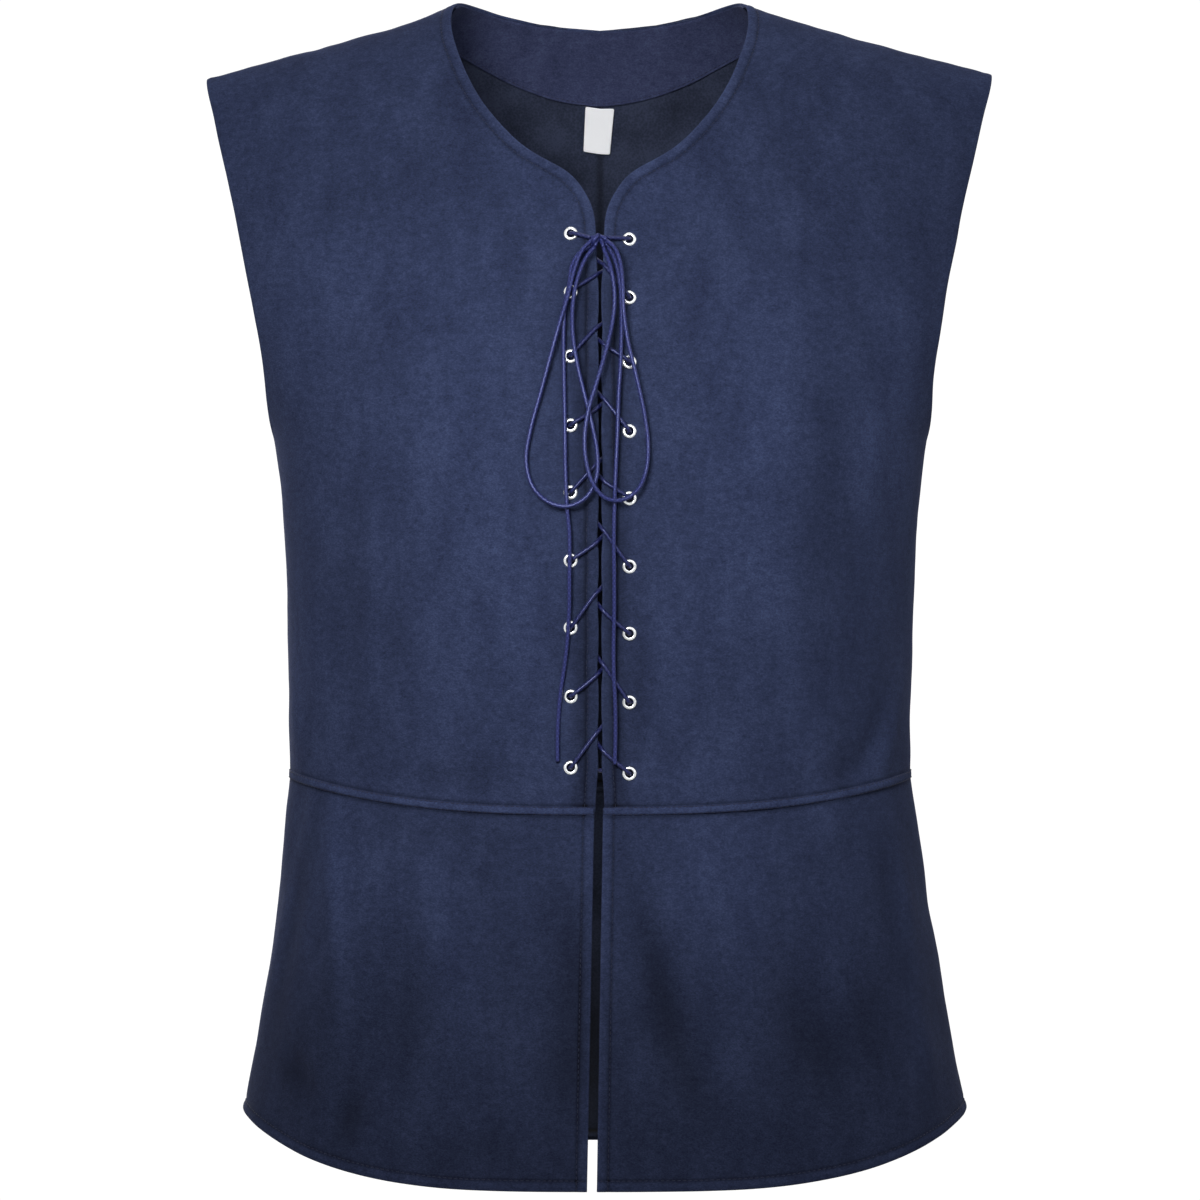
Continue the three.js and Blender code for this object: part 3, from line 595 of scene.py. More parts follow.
def band_front(sign):
    def point(across, up):
        inner = SLIT["waist_lean"] + sign * SLIT["width"] / 2
        level = WAIST["side"] + (up - 0.5) * BAND_HEIGHT
        x = lerp(inner, sign * half_at(level), np.sin(across * np.pi / 2))
        z = seam_height(WAIST, x, level, WAIST["front"]) + (up - 0.5) * BAND_HEIGHT
        return front_place(x, front_face(x, z, level, across), z)
    return point


def band_back(across, up):
    level = WAIST["side"] + (up - 0.5) * BAND_HEIGHT
    x = half_at(level) * np.sin((across - 0.5) * np.pi)
    z = seam_height(WAIST, x, level, WAIST["back"]) + (up - 0.5) * BAND_HEIGHT
    return back_place(x, bow(x, level, BACK, 0), z)


def mirrored(point):
    return lambda across, up: point(across, up) * np.array([-1, 1, 1])


# Materials
def linear(colour):
    """An sRGB hex colour as linear red, green, blue and alpha."""
    parts = [int(colour[i:i + 2], 16) / 255 for i in (1, 3, 5)]
    return [part / 12.92 if part <= 0.04045 else ((part + 0.055) / 1.055) ** 2.4 for part in parts] + [1.0]


def add_node(tree, kind, inputs=None, **settings):
    """Adds a node with its settings; an input is a value, or another node's output to link."""
    node = tree.nodes.new(kind)
    for name, value in settings.items():
        setattr(node, name, value)
    for socket, value in (inputs or {}).items():
        if isinstance(value, bpy.types.NodeSocket):
            tree.links.new(value, node.inputs[socket])
        else:
            node.inputs[socket].default_value = value
    return node


def per_metre(size_mm):
    """Texture scale that repeats at a real size."""
    return 1 / (size_mm * MM)


def new_material(name):
    material = bpy.data.materials.new(name)
    material.use_nodes = True
    material.node_tree.nodes.clear()
    return material, material.node_tree


def set_surface(tree, inputs):
    shader = add_node(tree, "ShaderNodeBsdfPrincipled", inputs)
    add_node(tree, "ShaderNodeOutputMaterial", {"Surface": shader.outputs["BSDF"]})


def set_stops(ramp, stops):
    """Colour stops of a ramp: place and sRGB hex colour."""
    elements = ramp.color_ramp.elements
    while len(elements) < len(stops):
        elements.new(0.5)
    for element, (place, colour) in zip(elements, stops):
        element.position = place
        element.color = linear(colour)


# Brushed microfibre suede: the nap is raised, so it is matt, softly mottled where it has been stroked
# one way or the other, and full of tiny level flecks with a few darker curled ones between them
# The fibres are too fine to show, so each fleck stands for a tuft of them
NAP_FLECK_MM = 1.3
NAP_TUFT_MM = 5
NAP_STROKE_MM = 24
NAP_CURL_MM = 4


def brushed_suede(name, dark, middle, light, sheen):
    material, tree = new_material(name)
    place = add_node(tree, "ShaderNodeTexCoord").outputs["Object"]
    wide = add_node(tree, "ShaderNodeMapping", {"Vector": place, "Scale": (1, 1, 1.5)})
    tall = add_node(tree, "ShaderNodeMapping", {"Vector": place, "Scale": (1, 1, 0.4)})
    level, upright = wide.outputs["Vector"], tall.outputs["Vector"]
    stroke = add_node(tree, "ShaderNodeTexNoise", {
        "Vector": upright, "Scale": per_metre(NAP_STROKE_MM), "Detail": 5.0, "Roughness": 0.6})
    tuft = add_node(tree, "ShaderNodeTexNoise", {
        "Vector": level, "Scale": per_metre(NAP_TUFT_MM), "Detail": 3.0, "Roughness": 0.6})
    fleck = add_node(tree, "ShaderNodeTexNoise", {
        "Vector": level, "Scale": per_metre(NAP_FLECK_MM), "Detail": 3.0, "Roughness": 0.75})
    broad = add_node(tree, "ShaderNodeMath", {0: stroke.outputs["Fac"], 1: 0.26}, operation="MULTIPLY")
    medium = add_node(tree, "ShaderNodeMath",
                      {0: tuft.outputs["Fac"], 1: 0.22, 2: broad.outputs[0]}, operation="MULTIPLY_ADD")
    mixed = add_node(tree, "ShaderNodeMath",
                     {0: fleck.outputs["Fac"], 1: 0.46, 2: medium.outputs[0]}, operation="MULTIPLY_ADD")
    curl = add_node(tree, "ShaderNodeTexNoise", {
        "Vector": level, "Scale": per_metre(NAP_CURL_MM), "Detail": 2.0, "Distortion": 1.6})
    few = add_node(tree, "ShaderNodeMapRange",
                   {"Value": curl.outputs["Fac"], "From Min": 0.6, "From Max": 0.7})
    curled = add_node(tree, "ShaderNodeMath",
                      {0: few.outputs["Result"], 1: -0.05, 2: mixed.outputs[0]}, operation="MULTIPLY_ADD")
    ramp = add_node(tree, "ShaderNodeValToRGB", {"Fac": curled.outputs[0]})
    set_stops(ramp, [(0.325, dark), (0.47, middle), (0.615, light)])
    relief = add_node(tree, "ShaderNodeMath",
                      {0: tuft.outputs["Fac"], 1: 0.8, 2: fleck.outputs["Fac"]}, operation="MULTIPLY_ADD")
    bump = add_node(tree, "ShaderNodeBump",
                    {"Strength": 0.7, "Distance": 0.4 * MM, "Height": relief.outputs[0]})
    # Painted light and shade carried on the cloth's vertices scales the base colour
    brushed = add_node(tree, "ShaderNodeAttribute", attribute_name="painted_light_shade")
    share = add_node(tree, "ShaderNodeMath", {0: brushed.outputs["Fac"], 1: 1.0}, operation="ADD")
    shaded = add_node(tree, "ShaderNodeVectorMath",
                      {0: ramp.outputs["Color"], "Scale": share.outputs[0]}, operation="SCALE")
    set_surface(tree, {
        "Base Color": shaded.outputs["Vector"], "Roughness": 0.96, "Specular IOR Level": 0.12,
        "Sheen Weight": sheen, "Sheen Roughness": 0.45, "Sheen Tint": linear("#8C93BE"),
        "Normal": bump.outputs["Normal"],
    })
    return material


# Knitted back of the cloth, left plain and darker than the nap, its loops drawn coarser than they are so
# that they show
KNIT_MM = 1.4
KNIT_PATCH_MM = 30


def cloth_back(name):
    material, tree = new_material(name)
    place = add_node(tree, "ShaderNodeTexCoord").outputs["Object"]
    patchy = add_node(tree, "ShaderNodeTexNoise",
                      {"Vector": place, "Scale": per_metre(KNIT_PATCH_MM), "Detail": 3.0})
    loops = add_node(tree, "ShaderNodeTexVoronoi", {"Vector": place, "Scale": per_metre(KNIT_MM)})
    mixed = add_node(tree, "ShaderNodeMath", {
        0: loops.outputs["Distance"], 1: 0.35, 2: patchy.outputs["Fac"]}, operation="MULTIPLY_ADD")
    ramp = add_node(tree, "ShaderNodeValToRGB", {"Fac": mixed.outputs[0]})
    set_stops(ramp, [(0.35, "#1B202F"), (0.6, "#282E41"), (0.85, "#353C52")])
    # The same painted light and shade, one and a half times as strong, scales the inside's colour
    painted_shading_inside = add_node(tree, "ShaderNodeAttribute", attribute_name="painted_light_shade")
    share = add_node(tree, "ShaderNodeMath",
                     {0: painted_shading_inside.outputs["Fac"], 1: 1.5, 2: 1.0}, operation="MULTIPLY_ADD")
    shaded = add_node(tree, "ShaderNodeVectorMath",
                      {0: ramp.outputs["Color"], "Scale": share.outputs[0]}, operation="SCALE")
    bump = add_node(tree, "ShaderNodeBump",
                    {"Strength": 0.4, "Distance": 0.2 * MM, "Height": loops.outputs["Distance"]})
    set_surface(tree, {
        "Base Color": shaded.outputs["Vector"], "Roughness": 0.9, "Specular IOR Level": 0.2,
        "Normal": bump.outputs["Normal"],
    })
    return material


# Braided polyester lace: fine bright filaments crossing round the cord, so it shines along its length; the
# lace threaded through the eyelets is a darker copy of it, which is painted shade
PLAITS_AROUND = 4
PLAIT_SLANT = math.radians(38)
# The scale at which a wave pattern repeats once in each unit
ONE_WAVE = 2 * math.pi / 20


def braided_polyester(name, dark, middle, light):
    material, tree = new_material(name)
    own = add_node(tree, "ShaderNodeTexCoord").outputs["UV"]
    plaits = []
    for turn in (1, -1):
        slanted = add_node(tree, "ShaderNodeMapping",
                           {"Vector": own, "Rotation": (0, 0, turn * PLAIT_SLANT)})
        wave = add_node(tree, "ShaderNodeTexWave", {
            "Vector": slanted.outputs["Vector"], "Scale": PLAITS_AROUND * ONE_WAVE, "Distortion": 0.6,
            "Detail": 2.0, "Detail Scale": 6.0})
        plaits.append(wave.outputs["Fac"])
    crossed = add_node(tree, "ShaderNodeMath", {0: plaits[0], 1: plaits[1]}, operation="MULTIPLY")
    ramp = add_node(tree, "ShaderNodeValToRGB", {"Fac": crossed.outputs[0]})
    set_stops(ramp, [(0.0, dark), (0.35, middle), (0.85, light)])
    bump = add_node(tree, "ShaderNodeBump",
                    {"Strength": 0.3, "Distance": 0.12 * MM, "Height": crossed.outputs[0]})
    set_surface(tree, {
        "Base Color": ramp.outputs["Color"], "Roughness": 0.28, "Specular IOR Level": 0.5,
        "Specular Tint": linear("#B4BDEC"), "Normal": bump.outputs["Normal"],
    })
    return material


# Spun polyester thread, a shade darker than the cloth
TWIST_MM = 0.5


def sewing_thread(name):
    material, tree = new_material(name)
    place = add_node(tree, "ShaderNodeTexCoord").outputs["Object"]
    twist = add_node(tree, "ShaderNodeTexNoise",
                     {"Vector": place, "Scale": per_metre(TWIST_MM), "Detail": 1.0})
    ramp = add_node(tree, "ShaderNodeValToRGB", {"Fac": twist.outputs["Fac"]})
    set_stops(ramp, [(0.3, "#0E1226"), (0.7, "#1D2342")])
    set_surface(tree, {"Base Color": ramp.outputs["Color"], "Roughness": 0.6, "Specular IOR Level": 0.3})
    return material


# Nickel-plated brass, pressed and tumbled: a bright mirror with faint handling marks
HANDLING_MM = 1.2


def plated_nickel(name):
    material, tree = new_material(name)
    place = add_node(tree, "ShaderNodeTexCoord").outputs["Object"]
    marks = add_node(tree, "ShaderNodeTexNoise",
                     {"Vector": place, "Scale": per_metre(HANDLING_MM), "Detail": 4.0})
    rough = add_node(tree, "ShaderNodeMapRange",
                     {"Value": marks.outputs["Fac"], "To Min": 0.12, "To Max": 0.3})
    tint = add_node(tree, "ShaderNodeValToRGB", {"Fac": marks.outputs["Fac"]})
    set_stops(tint, [(0.3, "#BEC1C3"), (0.7, "#E4E6E8")])
    bump = add_node(tree, "ShaderNodeBump",
                    {"Strength": 0.15, "Distance": 0.05 * MM, "Height": marks.outputs["Fac"]})
    set_surface(tree, {
        "Base Color": tint.outputs["Color"], "Metallic": 1.0, "Roughness": rough.outputs["Result"],
        "Normal": bump.outputs["Normal"],
    })
    return material


# Woven satin tape with a fine level rib; its emission is painted light, standing for an optical brightener
# that makes it a little whiter than white
RIB_MM = 0.7
SOIL_MM = 9
TAPE_PAINTED_GLOW = 0.13


def satin_tape(name):
    material, tree = new_material(name)
    own = add_node(tree, "ShaderNodeTexCoord").outputs["Object"]
    rib = add_node(tree, "ShaderNodeTexWave",
                   {"Vector": own, "Scale": per_metre(RIB_MM) * ONE_WAVE, "Distortion": 0.4},
                   bands_direction="Z")
    soiled = add_node(tree, "ShaderNodeTexNoise",
                      {"Vector": own, "Scale": per_metre(SOIL_MM), "Detail": 3.0})
    tone = add_node(tree, "ShaderNodeMath",
                    {0: rib.outputs["Fac"], 1: 0.25, 2: soiled.outputs["Fac"]}, operation="MULTIPLY_ADD")
    ramp = add_node(tree, "ShaderNodeValToRGB", {"Fac": tone.outputs[0]})
    set_stops(ramp, [(0.3, "#ECEDEF"), (0.8, "#FCFCFD")])
    bump = add_node(tree, "ShaderNodeBump",
                    {"Strength": 0.3, "Distance": 0.1 * MM, "Height": rib.outputs["Fac"]})
    set_surface(tree, {
        "Base Color": ramp.outputs["Color"], "Roughness": 0.5, "Specular IOR Level": 0.4,
        "Emission Color": linear("#EEF2FF"), "Emission Strength": TAPE_PAINTED_GLOW,
        "Normal": bump.outputs["Normal"],
    })
    return material


suede = brushed_suede("brushed_suede", "#20263F", "#2F3855", "#404A6C", 0.12)
# A lighter copy of the suede for the facing inside the neck: painted light
suede_painted_lighter = brushed_suede("brushed_suede_facing_painted_lighter", "#292F4A", "#393F5E", "#495172", 0.1)
wrong_side = cloth_back("knitted_cloth_back")
polyester_lace = braided_polyester("braided_polyester", "#1F2457", "#2A3066", "#3C437E")
# A darker copy of the lace for the threaded lace: painted shade
lace_painted_darker = braided_polyester("braided_polyester_painted_darker", "#151942", "#1E2350", "#2C3264")
thread = sewing_thread("spun_polyester_thread")
nickel = plated_nickel("plated_nickel")
white_tape = satin_tape("satin_tape")

# Camera: level, at the picture's mid height and 3 m from the neck line's plane
CAMERA_DISTANCE = 3000
CAMERA_HEIGHT = -369
PICTURE_WIDTH = 744
SENSOR_MM = 36

camera_data = bpy.data.cameras.new("camera")
camera_data.sensor_width = SENSOR_MM
camera_data.lens = SENSOR_MM * CAMERA_DISTANCE / PICTURE_WIDTH
camera = bpy.data.objects.new("camera", camera_data)
camera.location = (0, -CAMERA_DISTANCE * MM, CAMERA_HEIGHT * MM)
camera.rotation_euler = (math.pi / 2, 0, 0)
bpy.context.scene.collection.objects.link(camera)
bpy.context.scene.camera = camera


# Making pieces
def new_piece(name, bm, materials, replaces=()):
    """Adds a finished piece at the origin, riding on the vest."""
    mesh = bpy.data.meshes.new(name)
    bm.to_mesh(mesh)
    bm.free()
    for material in materials:
        mesh.materials.append(material)
    mesh.shade_smooth()
    piece = bpy.data.objects.new(name, mesh)
    bpy.context.scene.collection.objects.link(piece)
    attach(piece, "root")
    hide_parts(*replaces)
    return piece


def keep_result(piece):
    """Replaces a piece's mesh by what its modifiers make of it."""
    shown = piece.evaluated_get(bpy.context.evaluated_depsgraph_get())
    mesh = bpy.data.meshes.new_from_object(shown)
    piece.modifiers.clear()
    piece.data = mesh


def add_mesh(bm, part, matrix=Matrix()):
    """Adds a copy of one bmesh, moved by a matrix, to another."""
    mesh = bpy.data.meshes.new("part")
    part.to_mesh(mesh)
    mesh.transform(matrix)
    bm.from_mesh(mesh)
    bpy.data.meshes.remove(mesh)


def grid_mesh(points, uvs=None, wrapped=False, painted_tones=None):
    """A grid of faces laid over rows of points, closed into a tube where it is wrapped."""
    rows, columns = points.shape[:2]
    bm = bmesh.new()
    # Each vertex carries its share of painted light and shade
    painted_light_shade = bm.verts.layers.float.new("painted_light_shade")
    own = bm.loops.layers.uv.new("own")
    bmesh.ops.create_grid(bm, x_segments=columns - 1, y_segments=rows - 1, size=0.5)
    places = {}
    for vert in bm.verts:
        i = round((vert.co.x + 0.5) * (columns - 1))
        j = round((vert.co.y + 0.5) * (rows - 1))
        places[vert] = (j, i)
    for vert, place in places.items():
        vert.co = Vector(points[place]) * MM
        vert[painted_light_shade] = 0.0 if painted_tones is None else painted_tones[place]
    if uvs is not None:
        for face in bm.faces:
            for loop in face.loops:
                loop[own].uv = uvs[places[loop.vert]]
    if wrapped:
        bmesh.ops.remove_doubles(bm, verts=bm.verts, dist=1e-6)
    return bm


# Lace
def lace_frames(line):
    """Two cross directions at each point of a line, turned as little as they can be."""
    tangent = unit(np.gradient(line, axis=0))
    side = np.zeros_like(line)
    side[0] = unit(np.cross(tangent[0], (0.3, 1, 0.1)))
    for k in range(1, len(line)):
        side[k] = unit(side[k - 1] - tangent[k] * np.dot(side[k - 1], tangent[k]))
    return side, np.cross(tangent, side)


def lace_line(points):
    """Centre of a lace through its points, at even steps."""
    rough = curve_points(points, np.linspace(0, 1, 12 * len(points)))
    total = run_lengths(rough)[-1]
    return at_lengths(rough, np.linspace(0, total, max(int(total / LACE_STEP), 4) + 1))


def lace_bmesh(line):
    """Round braided cord along a line: its plaits stand a little proud, its ends are cut and rounded."""
    side, other = lace_frames(line)
    run = run_lengths(line)[:, None]
    angle = np.linspace(0, 2 * math.pi, LACE_AROUND + 1)[None, :]
    pitch = 2 * math.pi * run / (LACE * PLAIT_PITCH)
    plait = np.cos(3 * angle + pitch) * np.cos(3 * angle - pitch)
    from_end = np.minimum(run, run[-1] - run)
    rounded = lerp(CUT_END["narrowed"], 1, np.sqrt(np.clip(from_end / (LACE * CUT_END["rounded"]), 0, 1)))
    radius = LACE / 2 * (1 + PLAIT_PROUD * plait) * rounded
    ring = np.cos(angle)[..., None] * side[:, None] + np.sin(angle)[..., None] * other[:, None]
    points = line[:, None] + radius[..., None] * ring
    uvs = np.stack(np.broadcast_arrays(angle / (2 * math.pi), run / (math.pi * LACE)), -1)
    bm = grid_mesh(points, uvs, wrapped=True)
    bmesh.ops.holes_fill(bm, edges=[edge for edge in bm.edges if edge.is_boundary], sides=0)
    bmesh.ops.recalc_face_normals(bm, faces=bm.faces)
    return bm


FREE_LACES = [
    ("bow_end_left", "lace_end_left", LEFT_END, 0.317, "bare"),
    ("bow_end_right", "lace_end_right", RIGHT_END, 0.314, "bare"),
    ("bow_loop_left", "lace_loop_left", LEFT_LOOP, 0.355, "object"),
    ("bow_loop_right", "lace_loop_right", RIGHT_LOOP, 0.340, "object"),
]


def make_free_laces():
    for name, node, route, length, far_end in FREE_LACES:
        x, z, out = np.array(route, float).T
        line = lace_line(on_front(x, z, out))
        print(name, "runs", round(run_lengths(line)[-1], 1), "mm")
        piece = new_piece(name, lace_bmesh(line), [polyester_lace], [node])


make_free_laces()


def eyelet_place(sign, pair):
    drop = EYELETS["right_drop"] if sign > 0 else 0
    return np.array([sign * EYELETS["across"], EYELET_HEIGHTS[pair - 1] - drop])


# Where the threaded lace turns round through an eyelet, and where it dives through the slit
TURN_RADIUS = 3.1
TURN_MIDDLE = -0.75
TURN_INSET = 0.55
DIVE = [(-4.4, 1.85), (-2.3, 1.3), (0, -0.8), (2.3, -2.9), (4.4, -3.45)]


def eyelet_turn(place, towards_back, towards_front):
    lean = math.sqrt(0.5) * TURN_RADIUS
    start = TURN_RADIUS - TURN_INSET
    steps = [
        (towards_back, start, TURN_MIDDLE - TURN_RADIUS),
        (towards_back, start - lean, TURN_MIDDLE - lean),
        (unit(towards_back + towards_front), -TURN_INSET, TURN_MIDDLE),
        (towards_front, start - lean, TURN_MIDDLE + lean),
        (towards_front, start, TURN_MIDDLE + TURN_RADIUS),
    ]
    return [on_front(*(place + way * along), out) for way, along, out in steps]


# The last stretch of each strand, from its top eyelet into the knot
KNOT_LEAD = {"before": 3.5, "out": 3.6, "up": 1, "left_rise": 1.3, "right_rise": 0.3, "sunk": 0.7}


def strand_up(sign):
    """The threaded lace from the lowest pair up to the knot, starting on one side."""
    points = []
    came_from = np.array([-sign, 0.0])
    for pair, left, right in CROSSINGS:
        here, following = eyelet_place(sign, pair), eyelet_place(-sign, pair - 1)
        dive = np.array([0, here[1] + (left if sign < 0 else right)])
        up_to, on_to = unit(dive - here), unit(following - dive)
        points += eyelet_turn(here, came_from, up_to)
        points += [on_front(*(dive + unit(up_to + on_to) * along), out) for along, out in DIVE]
        came_from = -on_to
        sign = -sign
    top = eyelet_place(sign, 1)
    knot_z = KNOT["z"] + KNOT_LEAD["up"]
    points += eyelet_turn(top, came_from, unit(np.array([KNOT["x"], knot_z]) - top))
    lead_x = KNOT["x"] + sign * (KNOT["reach"] + KNOT_LEAD["before"])
    lead_z = knot_z + KNOT_LEAD["left_rise" if sign < 0 else "right_rise"]
    points.append(on_front(lead_x, lead_z, KNOT_LEAD["out"]))
    points.append(on_front(KNOT["x"] + sign * KNOT["reach"], knot_z, KNOT["out"] - KNOT_LEAD["sunk"]))
    return points


def make_lacing():
    points = np.array(strand_up(-1)[::-1] + strand_up(1))
    new_piece("lacing", lace_bmesh(lace_line(points)), [lace_painted_darker], ["lace_threaded"])


# The bow's knot: strands from its middle, as across, up and out, and one turn wrapped over them
KNOT_STRANDS = [
    [(-4.95, 1, -0.7), (-2.6, 1.2, -0.6), (1, -0.6, -0.6), (3.6, -2.4, -0.3), (5.1, -4.6, 0)],
    [(4.95, 1, -0.7), (2.6, 1.2, 0.2), (-1, -0.4, 0.6), (-3.6, -2.4, 0.4), (-5.1, -4.5, 0)],
    [(-4.3, -1.4, 3), (-2.4, 0.4, 2.6), (0, 0.9, 2.2), (2.4, 0.2, 2.7), (4.3, -1.8, 3.2)],
    [(-2.5, -5.6, 2.8), (-1.9, -3.4, 2.7), (-0.9, -1.2, 2), (-0.2, 0.4, 0.8)],
    [(2.5, -6.4, 3.4), (2, -3.8, 3), (1, -1.4, 2.1), (0.2, 0.4, 0.8)],
]
WRAP = {
    "turns": 1.3, "start": math.radians(200), "steps": 40, "from_x": -2.7, "to_x": -0.6, "slant": 0.5,
    "up": -0.8, "high": 2.5, "out": 1.6, "deep": 3.6,
}


def make_knot():
    middle = on_front(KNOT["x"], KNOT["z"], KNOT["out"])
    out = front_normal(np.array(KNOT["x"], float), np.array(KNOT["z"], float))
    up = unit(np.cross((1, 0, 0), -out))
    place = np.array([(1, 0, 0), up, out])
    share = np.linspace(0, 1, WRAP["steps"])
    angle = WRAP["start"] + share * 2 * math.pi * WRAP["turns"]
    high = WRAP["high"] * np.sin(angle)
    across = lerp(WRAP["from_x"], WRAP["to_x"], share) + WRAP["slant"] * high
    wrap = np.stack([across, WRAP["up"] + high, WRAP["out"] + WRAP["deep"] * np.cos(angle)], -1)
    bm = bmesh.new()
    for strand in KNOT_STRANDS + [wrap]:
        part = lace_bmesh(lace_line(middle + np.array(strand) @ place))
        add_mesh(bm, part)
        part.free()
    new_piece("bow_knot", bm, [polyester_lace], ["lace_knot"])


make_lacing()
make_knot()

# Eyelets
# Half section of a set eyelet: radius and height over the cloth, from the back flange through the barrel
# to the rolled flange in front
EYELET_SECTION = [
    (4.0, -1.75), (4.0, -2.05), (3.4, -2.3), (2.5, -2.25), (2.15, -1.9), (EYELET_HOLE, -1.2),
    (EYELET_HOLE, 0.1), (2.18, 0.5), (2.4, 0.88), (2.75, 1.12), (3.2, 1.15), (3.65, 1.03), (4.05, 0.77),
    (4.33, 0.4), (EYELET_FLANGE, -0.1), (4.0, -0.15), (2.7, -0.1), (2.65, -1.6),
]
EYELET_STEPS = 28


def make_eyelets():
    one = bmesh.new()
    verts = [one.verts.new((radius * MM, 0, height * MM)) for radius, height in EYELET_SECTION]
    edges = [one.edges.new(pair) for pair in zip(verts, verts[1:] + verts[:1])]
    bmesh.ops.spin(one, geom=verts + edges, cent=(0, 0, 0), axis=(0, 0, 1), angle=2 * math.pi,
                   steps=EYELET_STEPS, use_merge=True, use_duplicate=False)
    bmesh.ops.remove_doubles(one, verts=one.verts, dist=1e-6)
    bmesh.ops.recalc_face_normals(one, faces=one.faces)
    bm = bmesh.new()
    nodes = []
    for side, sign in (("left", -1), ("right", 1)):
        for pair in range(1, EYELETS["count"] + 1):
            add_mesh(bm, one, eyelet_matrix(sign, pair))
            nodes.append(f"eyelet_{side}_{pair}")
    one.free()
    new_piece("eyelets", bm, [nickel], nodes)


def eyelet_matrix(sign, pair):
    """Puts a shape whose axis is +Z square on the cloth at an eyelet."""
    x, z = eyelet_place(sign, pair)
    square = Vector(front_normal(np.array(x), np.array(z))).to_track_quat("Z", "Y")
    return Matrix.Translation(Vector(on_front(x, z)) * MM) @ square.to_matrix().to_4x4()


make_eyelets()

# Cloth
# Places of the grid's lines near an edge: close together where it is stitched or laced, plain at a seam
STITCHED = np.array([0, 0.7, 2, 3.6, 5.2, 6.8, 8.4, 10, 12.5])
LACED = np.array([0, 0.7, 2, 3.6, 5.2, 6.8, 8.4, 10, 12, 14, 16, 18, 20, 22, 25])
PLAIN = np.array([0, 0.8, 2.6])
WAISTED = np.array([0, 1.2, 2.5, 3.3, 4.2, 5.4, 7.6])
GRID_STEP = 6.0


def spaced(total, start, end, count):
    """Places along a length: the given ones near each end and even ones between."""
    between = np.linspace(start[-1], total - end[-1], count + 1)[1:-1]
    return np.concatenate([start, between, total - end[::-1]])


def grid_shares(surface, sides):
    """Shares across and up at which the cloth is laid out, evenly by its real lengths."""
    fine = np.linspace(0, 1, 161)
    net = surface(*np.meshgrid(fine, fine))
    rise = run_lengths(net.transpose(1, 0, 2)).mean(axis=0)
    count = math.ceil((rise[-1] - sides["bottom"][-1] - sides["top"][-1]) / GRID_STEP)
    up = np.interp(spaced(rise[-1], sides["bottom"], sides["top"], count), rise, fine)
    run = run_lengths(surface(*np.meshgrid(fine, up)))
    count = math.ceil((run[:, -1].max() - sides["inner"][-1] - sides["outer"][-1]) / GRID_STEP)
    across = np.array([
        np.interp(spaced(row[-1], sides["inner"], sides["outer"], count), row, fine) for row in run
    ])
    return across, np.broadcast_to(up[:, None], across.shape)


def outward_normals(points):
    """Normals of a grid, turned away from the middle of the vest, and back and up at the shoulders."""
    normal = unit(np.cross(np.gradient(points, axis=1), np.gradient(points, axis=0)))
    away = points * np.array([1, 2, 0])
    away[..., 2] = np.where(points[..., 2] > -60, 120, 0)
    return normal * np.where((normal * away).sum(-1, keepdims=True) < 0, -1, 1)


def lay_out(surface, sides):
    """A surface's points and normals on its grid, and the grid's shares across and up."""
    across, up = grid_shares(surface, sides)
    points = surface(across, up)
    return points, outward_normals(points), across, up


def distance_to(points, line):
    """Distance of each point of a grid from a line of points."""
    a, b = line[:-1], line[1:]
    step = b - a
    squared = (step * step).sum(-1)
    least = np.full(points.shape[:-1], 1e9)
    for start, way, size in zip(a, step, squared):
        share = np.clip(((points - start) @ way) / max(size, 1e-9), 0, 1)
        least = np.minimum(least, np.linalg.norm(points - start - share[..., None] * way, axis=-1))
    return least


def soft_marks(table, points):
    """Sum of a table's soft long marks: how far creases stand out, or how much painted light or shade lies
    on the cloth.
    """
    total = np.zeros(points.shape[:-1])
    for x, z, lean, half_long, half_wide, out in table:
        dx, dz = points[..., 0] - x, points[..., 2] - z
        slant = math.radians(lean)
        along = dx * math.sin(slant) + dz * math.cos(slant)
        across = dx * math.cos(slant) - dz * math.sin(slant)
        total += out * hump(along, half_long) * hump(across, half_wide)
    return total


def unevenness(points, size, most):
    """Slight unevenness of cloth that has been handled."""
    flat = points.reshape(-1, 3) / size
    return np.array([noise.noise(Vector(p)) for p in flat]).reshape(points.shape[:-1]) * most


def panel_relief(points, creases, waist):
    """What every panel has: its creases, the unevenness of handled cloth and the waist seam's pull."""
    handled = creases + unevenness(points, *UNEVEN["broad"]) + unevenness(points, *UNEVEN["fine"])
    return handled - RELIEF["waist_pull"] * hump(waist, 3)


def turned_edge(distance, points):
    """Relief beside a stitched edge: a soft ridge, then the dent of the stitches, a little puckered."""
    ridge = RELIEF["edge_ridge"] * smooth(distance / 1.6) * (1 - smooth((distance - STITCH_IN + 1) / 2.6))
    dent = RELIEF["stitch_dent"] * hump(distance - STITCH_IN, 1.2)
    pucker = unevenness(points, *UNEVEN["stitches"]) * hump(distance - STITCH_IN, 4.5)
    return ridge - dent + pucker - RELIEF["edge_rolled"] * (1 - smooth(distance / 1.5))


def plain_edge(distance):
    fold = smooth(distance / 1.5)
    return RELIEF["plain_edge"] * (fold * (1 - smooth((distance - 3) / 3)) - (1 - fold))


def sewn_seam(distance, points):
    pucker = unevenness(points, *UNEVEN["seam"]) * hump(distance, 8)
    return pucker - RELIEF["seam_dent"] * hump(distance, 1.8)


